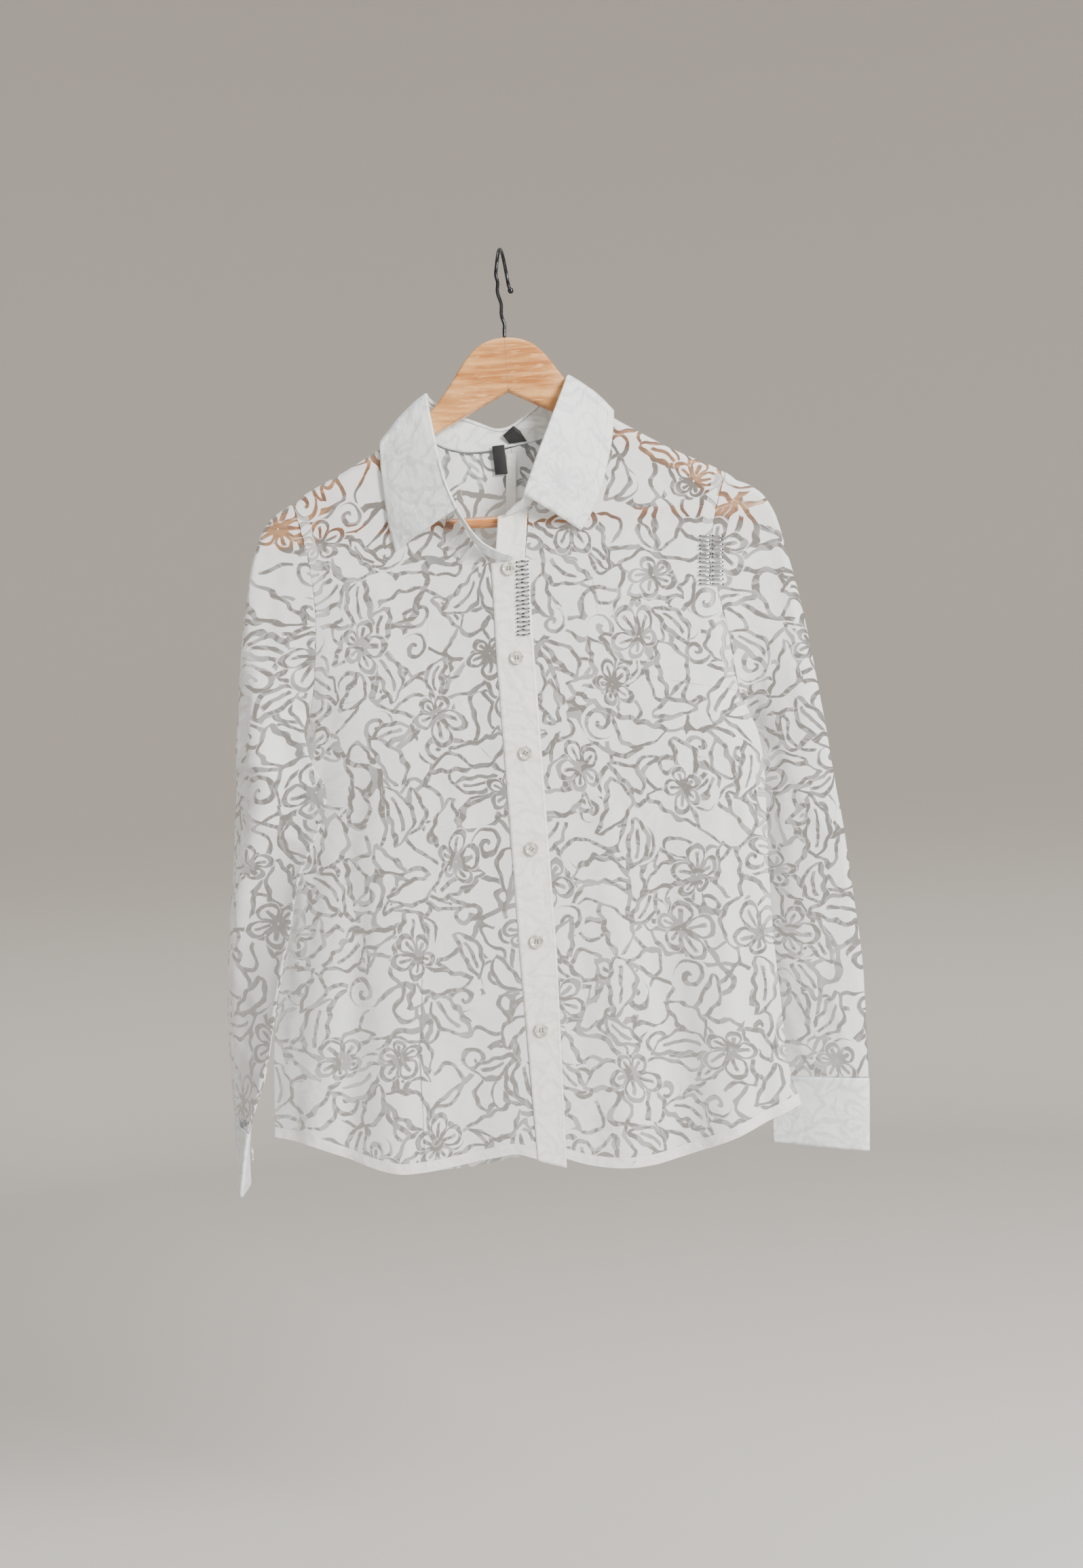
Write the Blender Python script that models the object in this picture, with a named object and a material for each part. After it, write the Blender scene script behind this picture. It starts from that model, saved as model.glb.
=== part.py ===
"""Sheer long-sleeved shirt, buttoned, hanging on its flat wooden hanger.

Frame: metres, +Z up, +X to the right seen from the front, the front faces -Y.
The origin is the inside crest of the hanger's hook, where a rail or rope holds it.
Tables and sizes are in millimetres. Right and left are the wearer's, so the right is at -X.
Every wall of cloth is made from a grid of points on its middle surface.
"""

import math
from collections import namedtuple

import bmesh
import bpy
import numpy as np

MM = 0.001

# Walls of cloth and the room between pieces
SINGLE = 1.2
DOUBLE = 1.6
GAP = 0.3

# Hanger
WOOD_THICK = 12.0
WOOD_EDGE = 3.8
WOOD_UNDER_CLOTH = 2.2
TIP_ROOM = 1.4
TIP_ROOM_FROM = 178.0
TIP_ROOM_TO = 196.0
BAR_RADIUS = 5.0
BAR_Z = -232.0
BAR_END_X = 172.0
BAR_SIDES = 16
HOOK_WIRE = 3.0
HOOK_RADIUS = 18.0

# Body
SHOULDER_WRAP = 8.0
SEAM_HALF_GAP = 0.25
SIDE_HALF = 0.85
SIDE_ROUND = 80.0
SIDE_SHIFT_WIDTH = 100.0
ARMHOLE_ROUND = 45.0
PLACKET_OUT = 1.6
PANEL_OUT = 1.4
UNDER_IN = 0.8
PLACKET_BLEND = 22.0
UNDER_LAP = 3.0
UNDER_WIDTH = 26.0
SEAM_STRIP_WIDTH = 9.0
BAND_BLEND = 60.0
RISE_POWER = 1.2
FOLD_EDGE_ROOM = 30.0
UNDER_ARM_Z = -380.0
UNDER_ARM_BLEND = 80.0
HEM_Z = -785.0

# Buttons
BUTTON_RADIUS = 6.0
BUTTON_CHAMFER = 0.6
BUTTON_RIM_IN = 1.2
BUTTON_DISH_IN = 2.0
BUTTON_FACE = 0.4
BUTTON_RIM = 1.0
BUTTON_BACK = -1.1
BUTTON_STANDS_OFF = 0.15
CUFF_BUTTON_STANDS_OFF = 0.25
CUFF_BUTTON_SHARE_RIGHT = 0.3
CUFF_BUTTON_SHARE_LEFT = 0.5

Point = namedtuple("Point", "x z")
Depth = namedtuple("Depth", "z front back")
Meet = namedtuple("Meet", "z right left")
Fold = namedtuple("Fold", "x_top z_top x_hem width height")
Section = namedtuple(
    "Section", "outer_x outer_y outer_z inner_x inner_y inner_z half round ridge"
)
Station = namedtuple("Station", "face neck_x neck_z fold_x fold_y fold_z edge_x edge_z")
Roll = namedtuple("Roll", "down out")
Wire = namedtuple("Wire", "x y z")
Lean = namedtuple("Lean", "degrees x")
Swell = namedtuple("Swell", "along radius")

# The line of the shoulder, seen from the front, from the neck to past the hanger's tip
SHOULDER_LINE = [
    Point(0, -72),
    Point(12, -73.5),
    Point(22, -77.5),
    Point(34, -88.5),
    Point(45, -104),
    Point(53, -115),
    Point(66, -130.5),
    Point(88, -147.5),
    Point(115, -164.5),
    Point(143, -181),
    Point(174, -195.5),
    Point(188, -204.5),
    Point(199, -210.5),
    Point(210, -218.5),
    Point(218.7, -230),
    Point(222.7, -241.6),
]
WOOD_UNDERSIDE = [
    Point(0, -121),
    Point(65, -154),
    Point(110, -181),
    Point(150, -203),
    Point(171.8, -226),
    Point(172, -240),
    Point(190, -243.5),
    Point(206, -246),
    Point(219, -244),
    Point(221, -243),
]
WOOD_SECTIONS = (
    0.15, 12, 22, 34, 45, 53, 66, 77, 88, 115, 143, 160, 171.8, 172, 180, 188, 199, 206, 212, 216
)
WOOD_TIP_X = 218.5
WOOD_TAPER_FROM = 196.0
WOOD_TAPER = 0.5

# The hook: its stem, the way it leans along its arc, and the ball on its end
HOOK_STEM = [
    Wire(0, 0, -66),
    Wire(-0.5, -1, -58),
    Wire(-1.5, -5, -50),
    Wire(-2.5, -10, -42),
    Wire(-3.5, -16, -33),
]
HOOK_LEANS = [Lean(195, -4.0), Lean(90, 1.25), Lean(-30, 6.65)]
HOOK_ARC_STEP = 15
HOOK_BALL_AT = 2.0
HOOK_BALL = [
    Swell(-2.4, 1.7),
    Swell(-1.2, 2.4),
    Swell(0.2, 2.6),
    Swell(1.5, 2.2),
    Swell(2.4, 1.1),
    Swell(2.7, 0),
]

# Edges of the panels, seen from the front
NECK_FRONT_RIGHT = [
    Point(-23.4, -269.5),
    Point(-32, -256),
    Point(-48.5, -228),
    Point(-62, -199),
    Point(-70.5, -177),
    Point(-77, -161),
    Point(-84, -144.6),
]
NECK_FRONT_LEFT = [
    Point(11.8, -222),
    Point(26, -204),
    Point(39, -183),
    Point(48, -165),
    Point(56, -148),
    Point(66, -130.5),
]
NECK_BACK_RIGHT = [
    Point(0, -167.5),
    Point(-16, -170.5),
    Point(-40, -170),
    Point(-62, -163.5),
    Point(-76, -153),
    Point(-84, -144.6),
]
NECK_BACK_LEFT = [
    Point(0, -167.5),
    Point(16, -164),
    Point(34, -160.5),
    Point(48, -153),
    Point(58, -142),
    Point(66, -130.5),
]
ARMHOLE_RIGHT = [
    Point(-190, -206),
    Point(-185.5, -225),
    Point(-180, -252),
    Point(-175.7, -289),
    Point(-176.1, -315),
    Point(-179.8, -358),
    Point(-186, -390),
]
ARMHOLE_LEFT = [
    Point(182.6, -201),
    Point(171.4, -236.4),
    Point(165.5, -277),
    Point(170.6, -308.5),
    Point(177.3, -340.7),
    Point(180.5, -370),
    Point(184, -392),
]
SIDE_RIGHT = [
    Point(-186, -390),
    Point(-189.5, -399),
    Point(-194, -412),
    Point(-197.5, -430),
    Point(-199.5, -452),
    Point(-205, -500),
    Point(-215, -560),
    Point(-226, -615),
    Point(-234, -655),
    Point(-236.6, -690),
    Point(-239.2, -751.5),
]
SIDE_LEFT = [
    Point(184, -392),
    Point(187.5, -400),
    Point(193, -412),
    Point(198, -429),
    Point(200, -450),
    Point(199, -527),
    Point(199.2, -607),
    Point(202.4, -662),
    Point(204, -697),
    Point(207, -724),
    Point(213.8, -745),
]
HEM_FRONT_RIGHT = [
    Point(-13.4, -777),
    Point(-24.5, -773),
    Point(-58, -776),
    Point(-96, -781.5),
    Point(-133, -782),
    Point(-152, -777),
    Point(-180, -767),
    Point(-207, -757),
    Point(-239.2, -751.5),
]
HEM_FRONT_LEFT = [
    Point(9, -777),
    Point(27, -783.5),
    Point(62, -788.5),
    Point(85, -788),
    Point(109, -783.5),
    Point(145, -771.7),
    Point(193, -753.4),
    Point(213.8, -745),
]
HEM_BACK_RIGHT = [
    Point(-9, -781),
    Point(-31, -785),
    Point(-60, -790),
    Point(-92, -791),
    Point(-130, -787),
    Point(-180, -769),
    Point(-239.2, -751.5),
]
HEM_BACK_LEFT = [
    Point(-9, -781),
    Point(40, -783),
    Point(85, -784),
    Point(145, -769),
    Point(213.8, -745),
]
BACK_CENTRE = [Point(0, -167.5), Point(-3, -222), Point(-6, -500), Point(-9, -781)]

# Edges of the over-placket; the under band lies behind it
PLACKET_OUTER = [
    Point(-23.1, -270),
    Point(-22.9, -351),
    Point(-18, -600),
    Point(-13.1, -780),
]
PLACKET_INNER = [Point(8.8, -266), Point(9.5, -351), Point(13.6, -600), Point(11, -786)]
PLACKET_TOP_Z = (-269.2, -266.5)
PLACKET_HEM_Z = (-778.5, -786)
UNDER_TOP_Z = (-229, -223)
UNDER_HEM_Z = (-774, -776)

# Half the depth of the body, front and back, and how far its sides lie forward (-) or back (+)
DEPTHS = [
    Depth(-100, 9.5, 9.5),
    Depth(-250, 10.5, 10.0),
    Depth(-320, 13.5, 12.5),
    Depth(-400, 17.0, 15.0),
    Depth(-500, 21.0, 18.0),
    Depth(-600, 24.0, 21.0),
    Depth(-700, 26.0, 23.0),
    Depth(-800, 27.0, 24.0),
]
ARMHOLE_DEPTHS = [
    Depth(-190, 9.5, 9.5),
    Depth(-280, 10.0, 10.0),
    Depth(-340, 8.5, 8.5),
    Depth(-372, 5.0, 5.0),
    Depth(-391, SIDE_HALF, SIDE_HALF),
    Depth(-800, SIDE_HALF, SIDE_HALF),
]
SIDE_MEETS = [
    Meet(-390, 0.0, 0.0),
    Meet(-400, 1.5, -1.5),
    Meet(-412, 2.8, -3.0),
    Meet(-430, 4.0, -5.0),
    Meet(-460, 6.0, -8.0),
    Meet(-530, 8.0, -13.0),
    Meet(-620, 9.0, -16.0),
    Meet(-760, 8.0, -18.0),
]

# Soft folds: ridges (height over 0) and troughs that grow from z_top down to the hem
FOLDS_FRONT = [
    Fold(-170, -400, -206, 15, 5.0),
    Fold(-150, -430, -176, 20, -6.0),
    Fold(-118, -470, -128, 26, 5.0),
    Fold(-70, -520, -72, 22, -4.5),
    Fold(60, -500, 62, 24, 4.5),
    Fold(112, -430, 110, 22, -5.5),
    Fold(148, -400, 150, 18, 5.5),
    Fold(176, -400, 184, 11, -4.0),
]
FOLDS_BACK = [
    Fold(-140, -300, -170, 24, 6.0),
    Fold(-85, -330, -110, 24, -6.0),
    Fold(-40, -260, -52, 20, 5.0),
    Fold(25, -260, 22, 20, -4.5),
    Fold(70, -330, 84, 24, 6.5),
    Fold(130, -330, 142, 24, -5.5),
]

# Sleeve sections from the armhole to the cuff: the outer fold, the seam under the arm,
# half the thickness, the roundness of its edges and the height of the crease at the elbow
SLEEVE_RIGHT = [
    Section(-201, 0, -212.2, -189.4, -0.4, -391.2, 9.5, 8, 0),
    Section(-212, 0, -220.5, -192.3, -1, -393.4, 9.5, 8, 0),
    Section(-221, 0, -234, -194.8, -1.8, -396.6, 9.8, 8, 0),
    Section(-230, 0, -260, -196.2, -2.8, -401.2, 10, 10, 0),
    Section(-238.5, 2, -305, -196.3, -4.2, -407.5, 11, 14, 3),
    Section(-244.5, 4.5, -345, -195, -6.4, -415, 12, 20, 7),
    Section(-249, 9, -380, -191.5, -9.8, -424.5, 12, 26, 11),
    Section(-252.5, 13.5, -410, -184.5, -15.5, -436, 12, 30, 15),
    Section(-255, 17.5, -436, -174.5, -23, -451, 12, 32, 17),
    Section(-259, 23, -478, -175, -30, -471, 11, 32, 19),
    Section(-262, 26, -504, -186, -33, -498, 10.5, 32, 18),
    Section(-264.5, 28.5, -530, -201, -35.5, -529, 10, 30, 17),
    Section(-269.5, 32, -572, -215.5, -39, -570, 9, 28, 14),
    Section(-274, 35, -618, -227, -42, -615, 8, 26, 10),
    Section(-276, 37, -660, -237, -43, -660, 7.5, 24, 7),
    Section(-275, 39, -700, -246, -42, -702, 7, 22, 4),
    Section(-274, 39.5, -737, -254.5, -40, -738, 6, 20, 1),
]
SLEEVE_LEFT = [
    Section(193, 0, -208.0, 187.8, 1, -391.8, 9.5, 8, 0),
    Section(204, 0, -213.6, 191.5, 2.8, -395.5, 9.5, 8, 0),
    Section(214.5, 0, -222.5, 194.5, 4.6, -401, 9.7, 8, 0),
    Section(222.5, 0, -236.5, 196.5, 6.4, -408, 9.8, 9, 0),
    Section(228.5, 0, -257, 197.5, 8, -416, 10, 12, 0),
    Section(236, -1, -290, 197.3, 9.8, -426, 10, 18, 0),
    Section(243.5, -2, -328, 195.5, 11.5, -438, 10, 22, 0),
    Section(250, -3, -375, 192, 13.5, -453, 10, 24, 0),
    Section(255.5, -4, -420, 188, 16, -472, 9.5, 25, 0),
    Section(260.5, -4, -468, 184, 18, -497, 9, 25, 1.5),
    Section(265.5, -4, -516, 181, 20, -531, 8.5, 25, 2.5),
    Section(270.5, -4, -566, 180.5, 20, -572, 8, 25, 2.5),
    Section(275, -5, -616, 182, 19, -617, 7.5, 24, 2),
    Section(275.5, -6, -660, 186, 17, -660, 7, 24, 2),
    Section(275, -7, -700, 190, 15, -696, 6.5, 22, 1),
    Section(274.3, -8, -727, 193.5, 13, -724, 6, 20, 0),
]
CUFF_RIGHT = [
    Section(-274, 39.5, -737.9, -254.7, -40, -738.9, 6, 20, 0.5),
    Section(-274, 38.5, -758, -258, -40, -757, 5.5, 20, 0),
    Section(-273, 37.5, -776, -261, -40.5, -775, 5.2, 20, 0),
    Section(-272, 37, -791, -263.5, -41, -791.5, 5, 20, 0),
]
CUFF_LEFT = [
    Section(274.3, -8, -727.9, 193.5, 13, -724.9, 6, 20, 0),
    Section(273.3, -8.5, -748, 193, 12.5, -744, 5.5, 20, 0),
    Section(272, -9, -769, 192.5, 12, -763, 5.2, 20, 0),
    Section(270.7, -9.5, -790, 191.8, 12, -782, 5, 20, 0),
]
RIDGE_AT = 0.45
RIDGE_WIDTH = 0.2
ARMHOLE_BLENDS = 5

INNER_ROUND = 50.0
INNER_HALF = 1.2

# Collar, station by station from the front end on the right side of the wearer, over the
# shoulder and the back neck to the other front end: neck seam, fold and outer edge. The face
# is -1 where it lies on the front, 0 on the shoulder seam and 1 on the back, which gives the
# depth of the neck seam and of the edge.
STATIONS = [
    Station(-1, -3, -267.0, -5, -23, -263, 0, 0),
    Station(-1, -14, -268.0, -19, -31, -258, 0, 0),
    Station(-1, -30, -258.5, -33, -35, -248, 0, 0),
    Station(-1, -48.5, -228, -48.3, -36, -223.5, -103.9, -254),
    Station(-1, -62, -199, -57.7, -34, -196, -109.2, -226),
    Station(-1, -70.5, -177, -64.4, -28, -158, -111.8, -186),
    Station(-1, -79, -156, -68, -17, -132, -112, -170),
    Station(-1, -83.2, -147.5, -68.9, -9, -123, -112, -161.5),
    Station(0, -84, -144.3, -69, -1, -119.7, -111.5, 0),
    Station(1, -82.5, -147.5, -67.5, 7.6, -121.5, -109, -160),
    Station(1, -76, -153, -61.5, 11.5, -126, -102, -168),
    Station(1, -62, -163.5, -49, 14, -134, -77, -187),
    Station(1, -36, -170.5, -31, 15.5, -141, -41, -199),
    Station(1, 0, -167.5, -6.5, 16.5, -149, -6, -203),
    Station(1, 32, -161, 18, 15.5, -135, 35, -195),
    Station(1, 48, -153, 36, 14, -121, 62, -181),
    Station(1, 59, -140.5, 46, 12, -116, 80, -160),
    Station(1, 65, -132.6, 50.5, 7.8, -113.2, 87.5, -146.5),
    Station(0, 66, -130, 51.7, 0, -111.2, 89, 0),
    Station(-1, 65, -132.6, 50.7, -8.2, -113.8, 89.3, -146.5),
    Station(-1, 59, -142.5, 47.5, -13, -122, 88.5, -158),
    Station(-1, 48, -165, 38, -24, -144, 82.5, -187),
    Station(-1, 29, -200, 21.5, -31, -182, 69, -224),
    Station(-1, 15, -219, 8, -31, -214.8, 55.4, -245.5),
    Station(-1, 4, -226, 0.5, -25, -220, 0, 0),
    Station(-1, -8.5, -229.5, -6.5, -18, -225.5, 0, 0),
]
FALL_FROM = 3
FALL_TO = 23
STAND_SHORT = 3.4
STAND_ROOM = 1.4
EDGE_OFF = 2.8
EDGE_OVER_CREST = 5.0
FALL_ROLL = [Roll(2.8, 0), Roll(0.9, 0.15), Roll(0, 1.3), Roll(1.3, 2.6)]
FALL_STEPS = (0.2, 0.45, 0.72, 1.0)
FALL_SWELL = 2.2

BUTTONS = [  # x, z, turn in degrees
    (-8, -274.4, 2),
    (-5.5, -351, 0),
    (-2.9, -433, 35),
    (-2.6, -514.4, 40),
    (-3, -593, 4),
    (-3.3, -668, 0),
]

LABEL_LONG = [
    Point(-16.5, -165.5),
    Point(-5.7, -164.8),
    Point(-4.3, -190),
    Point(-15.1, -190.6),
]
LABEL_FOLDED = [
    Point(-6.5, -156.5),
    Point(3, -148.5),
    Point(8.5, -153),
    Point(13.8, -162.5),
    Point(-1.5, -163.8),
]
LABEL_WALL = 1.0
LABEL_LONG_Y = 6.6
LABEL_FOLDED_Y = 8.8

COLOURS = {  # red, green, blue, roughness, metallic
    "sheer_cloth": (0.73, 0.74, 0.75, 0.6, 0.0),
    "crisp_cloth": (0.78, 0.81, 0.82, 0.6, 0.0),
    "placket_cloth": (0.82, 0.81, 0.76, 0.6, 0.0),
    "pearly_button": (0.8, 0.79, 0.74, 0.2, 0.0),
    "black_label": (0.02, 0.02, 0.022, 0.6, 0.0),
    "pale_wood": (0.68, 0.36, 0.15, 0.4, 0.0),
    "bar_wood": (0.45, 0.19, 0.05, 0.25, 0.0),
    "dark_steel": (0.12, 0.12, 0.13, 0.3, 1.0),
}


def clear_scene():
    for thing in list(bpy.data.objects):
        bpy.data.objects.remove(thing, do_unlink=True)


def material(name):
    found = bpy.data.materials.get(name)
    if found:
        return found
    made = bpy.data.materials.new(name)
    made.use_nodes = True
    red, green, blue, roughness, metallic = COLOURS[name]
    shader = made.node_tree.nodes["Principled BSDF"]
    shader.inputs["Base Color"].default_value = (red, green, blue, 1)
    shader.inputs["Roughness"].default_value = roughness
    shader.inputs["Metallic"].default_value = metallic
    return made


def add_object(name, points, faces, finish):
    """One named solid from points in millimetres and faces that point outwards."""
    mesh = bpy.data.meshes.new(name)
    mesh.from_pydata([tuple(p * MM for p in point) for point in points], [], faces)
    mesh.materials.append(material(finish))
    mesh.shade_smooth()
    mesh.set_sharp_from_angle(angle=math.radians(40))
    made = bpy.data.objects.new(name, mesh)
    bpy.context.scene.collection.objects.link(made)
    return made


def path_at(rows, places, even=False):
    """Points on a smooth curve through rows, at places from 0 to 1 of its length or,
    when even, of its count of rows."""
    rows = np.array(rows, float)
    if even:
        knots = np.linspace(0, 1, len(rows))
    else:
        steps = np.linalg.norm(np.diff(rows, axis=0), axis=1)
        knots = np.concatenate([[0], np.cumsum(steps)]) / steps.sum()
    slopes = np.gradient(rows, knots, axis=0)
    places = np.clip(np.atleast_1d(places), 0, 1)
    i = np.clip(np.searchsorted(knots, places, side="right") - 1, 0, len(knots) - 2)
    span = knots[i + 1] - knots[i]
    t = ((places - knots[i]) / span)[:, None]
    span = span[:, None]
    return (
        rows[i] * (2 * t**3 - 3 * t**2 + 1)
        + rows[i + 1] * (3 * t**2 - 2 * t**3)
        + slopes[i] * span * (t**3 - 2 * t**2 + t)
        + slopes[i + 1] * span * (t**3 - t**2)
    )


def column(rows, at, name):
    """One column of a table whose z falls from row to row, read at a z."""
    return np.interp(-at, [-row.z for row in rows], [getattr(row, name) for row in rows])


def smooth_step(t):
    t = np.clip(t, 0, 1)
    return t * t * (3 - 2 * t)


def quarter_round(t):
    """0 at 0, 1 from 1 on, upright at 0, as the side of a rounded edge."""
    return np.sqrt(1 - (1 - np.clip(t, 0, 1)) ** 2)


def shoulder_z(x):
    return np.interp(abs(x), [p.x for p in SHOULDER_LINE], [p.z for p in SHOULDER_LINE])


def edge_x(x, z):
    """How far out the panels reach at this height, on the side of x."""
    rows = ARMHOLE_RIGHT + SIDE_RIGHT[1:] if x < 0 else ARMHOLE_LEFT + SIDE_LEFT[1:]
    return abs(column(rows, z, "x"))


def folds(table, x, z):
    """The height of all the folds here: each grows, drifts and widens on its way down."""
    total = 0.0
    for fold in table:
        down = np.clip((fold.z_top - z) / (fold.z_top - HEM_Z), 0, 1.05)
        middle = fold.x_top + (fold.x_hem - fold.x_top) * down
        width = fold.width * (0.75 + 0.25 * down)
        total += fold.height * smooth_step(down) * math.exp(-(((x - middle) / width) ** 2))
    return total


def body_y(x, z, back):
    """Depth of the body's cloth at this place: negative in front, positive at the back."""
    side = "right" if x < 0 else "left"
    inside = max(edge_x(x, z) - abs(x), 0.0)
    full = column(DEPTHS, z, "back" if back else "front")
    edge = column(ARMHOLE_DEPTHS, z, "back" if back else "front")
    under_arm = smooth_step((UNDER_ARM_Z - z) / UNDER_ARM_BLEND)
    reach = ARMHOLE_ROUND + (SIDE_ROUND - ARMHOLE_ROUND) * under_arm
    rise = (1 - (1 - min(inside / reach, 1)) ** 2) ** RISE_POWER
    bumps = folds(FOLDS_BACK if back else FOLDS_FRONT, x, z)
    bumps *= smooth_step(inside / FOLD_EDGE_ROOM)
    half = edge + (full - edge) * rise + bumps
    meet = column(SIDE_MEETS, z, side) * (1 - smooth_step(inside / SIDE_SHIFT_WIDTH))
    wrap = quarter_round((shoulder_z(x) - z) / SHOULDER_WRAP)
    half = SEAM_HALF_GAP + (half - SEAM_HALF_GAP) * wrap
    return meet + half if back else meet - half


def placket_edges(z):
    """The over-placket's two edges at this height."""
    return column(PLACKET_OUTER, z, "x"), column(PLACKET_INNER, z, "x")


def under_seam_x(z):
    """Where the left front ends and its under band begins, at this height."""
    down = smooth_step((NECK_FRONT_LEFT[0].z - z) / BAND_BLEND)
    return NECK_FRONT_LEFT[0].x * (1 - down) + (placket_edges(z)[1] - UNDER_LAP) * down


def front_point(x, z, out=0.0):
    """A point on the front's cloth, moved out by so much towards the viewer."""
    return (x, body_y(x, z, False) - out, z)


def panel_shift(x, z, wearer_right):
    """The panels step out or in to meet the over-placket and the under band."""
    outer, inner = placket_edges(z)
    if wearer_right:
        return PANEL_OUT * (1 - smooth_step((outer - x) / PLACKET_BLEND))
    start = inner - UNDER_LAP
    return -UNDER_IN * (1 - smooth_step((x - start) / PLACKET_BLEND))


def cloth_wall(name, grid, thick, finish, ring=False):
    """A closed wall about a grid of points, rows by columns by xyz. A ring's columns
    meet end to end."""
    rows, columns = grid.shape[:2]

    def across(step):
        if ring:
            return (np.roll(grid, -1, 1) - np.roll(grid, 1, 1)) * step
        return np.gradient(grid, axis=1) * step

    normal = np.cross(across(1), np.gradient(grid, axis=0))
    normal /= np.maximum(np.linalg.norm(normal, axis=2, keepdims=True), 1e-9)
    points = np.concatenate(
        [
            (grid + normal * thick / 2).reshape(-1, 3),
            (grid - normal * thick / 2).reshape(-1, 3),
        ]
    )
    under = rows * columns
    spans = columns if ring else columns - 1

    def at(row, col):
        return row * columns + col % columns

    faces = []
    for r in range(rows - 1):
        for c in range(spans):
            a, b, d, e = at(r, c), at(r, c + 1), at(r + 1, c + 1), at(r + 1, c)
            faces.append((a, b, d, e))
            faces.append((under + e, under + d, under + b, under + a))
    for c in range(spans):
        top, bottom = (at(0, c), at(0, c + 1)), (at(rows - 1, c), at(rows - 1, c + 1))
        faces.append((top[1], top[0], under + top[0], under + top[1]))
        faces.append((bottom[0], bottom[1], under + bottom[1], under + bottom[0]))
    if not ring:
        for r in range(rows - 1):
            first, last = (at(r, 0), at(r + 1, 0)), (at(r, spans), at(r + 1, spans))
            faces.append((first[0], first[1], under + first[1], under + first[0]))
            faces.append((last[1], last[0], under + last[0], under + last[1]))
    made = add_object(name, points, faces, finish)
    face_outwards(made)
    return made


def face_outwards(thing):
    """Turn the faces round if the solid is inside out."""
    shape = bmesh.new()
    shape.from_mesh(thing.data)
    bmesh.ops.triangulate(shape, faces=shape.faces[:], quad_method="BEAUTY")
    if shape.calc_volume(signed=True) < 0:
        bmesh.ops.reverse_faces(shape, faces=shape.faces[:])
    shape.to_mesh(thing.data)
    shape.free()


def patch(top, bottom, inner, outer, across, down):
    """Points x, z of a panel between its four edges (a Coons patch), where inner and outer
    run down and top and bottom run across."""
    corners = top(0.0), top(1.0), bottom(0.0), bottom(1.0)
    grid = []
    for v in down:
        row = []
        for u in across:
            edges = (1 - v) * top(u) + v * bottom(u) + (1 - u) * inner(v) + u * outer(v)
            blend = (
                (1 - u) * (1 - v) * corners[0]
                + u * (1 - v) * corners[1]
                + (1 - u) * v * corners[2]
                + u * v * corners[3]
            )
            row.append(edges - blend)
        grid.append(row)
    return np.array(grid)


def two_part(first, second, share):
    """One edge made of two curves that meet in a corner at this share of it."""

    def at(t):
        if t <= share:
            return path_at(first, t / share)[0]
        return path_at(second, (t - share) / (1 - share))[0]

    return at


def shoulder_edge(start, end, count=9):
    """The shoulder seam from the neck to the armhole, on the line of the shoulder."""
    return [Point(x, shoulder_z(x)) for x in np.linspace(start, end, count)]


NECK_SHARE = 0.42
ARMHOLE_SHARE = 0.36
PANEL_DOWN = np.concatenate(
    [
        [0, 0.0022, 0.0055, 0.011, 0.02, 0.045, 0.085, 0.13],
        [0.188, 0.246, 0.304, 0.344, 0.355, ARMHOLE_SHARE],
        np.linspace(ARMHOLE_SHARE, 1, 11)[1:],
    ]
)
NECK_CORNER = [0.398, 0.41, NECK_SHARE]
FRONT_ACROSS = np.concatenate(
    [np.linspace(0, 0.37, 6), NECK_CORNER, np.linspace(NECK_SHARE, 1, 9)[1:]]
)
BACK_ACROSS = np.concatenate(
    [np.linspace(0, 0.35, 5), NECK_CORNER, np.linspace(NECK_SHARE, 1, 7)[1:]]
)
# Places down the armhole, shared by the panels and the rings of the sleeve
RING_PLACES = PANEL_DOWN[PANEL_DOWN <= ARMHOLE_SHARE] / ARMHOLE_SHARE
RING = [(t, -1) for t in RING_PLACES[:-1]] + [(t, 1) for t in RING_PLACES[:0:-1]]


def panel_grid(neck, armhole, side, hem, inner, across, depth):
    """Points x, y, z of a front or back panel."""
    top = two_part(neck, shoulder_edge(neck[-1].x, armhole[0].x), NECK_SHARE)
    outer = two_part(armhole, side, ARMHOLE_SHARE)
    flat = patch(top, lambda u: path_at(hem, u)[0], inner, outer, across, PANEL_DOWN)
    return np.array([[(x, depth(x, z), z) for x, z in row] for row in flat])


def front_right():
    def inner(v):
        z = NECK_FRONT_RIGHT[0].z + v * (HEM_FRONT_RIGHT[0].z - NECK_FRONT_RIGHT[0].z)
        return np.array([placket_edges(z)[0] - GAP, z])

    def depth(x, z):
        return body_y(x, z, False) - panel_shift(x, z, True)

    return panel_grid(
        NECK_FRONT_RIGHT, ARMHOLE_RIGHT, SIDE_RIGHT, HEM_FRONT_RIGHT, inner, FRONT_ACROSS, depth
    )


def front_left():
    def inner(v):
        z = NECK_FRONT_LEFT[0].z + v * (HEM_FRONT_LEFT[0].z - NECK_FRONT_LEFT[0].z)
        return np.array([under_seam_x(z), z])

    def depth(x, z):
        return body_y(x, z, False) - panel_shift(x, z, False)

    return panel_grid(
        NECK_FRONT_LEFT, ARMHOLE_LEFT, SIDE_LEFT, HEM_FRONT_LEFT, inner, FRONT_ACROSS, depth
    )


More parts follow.
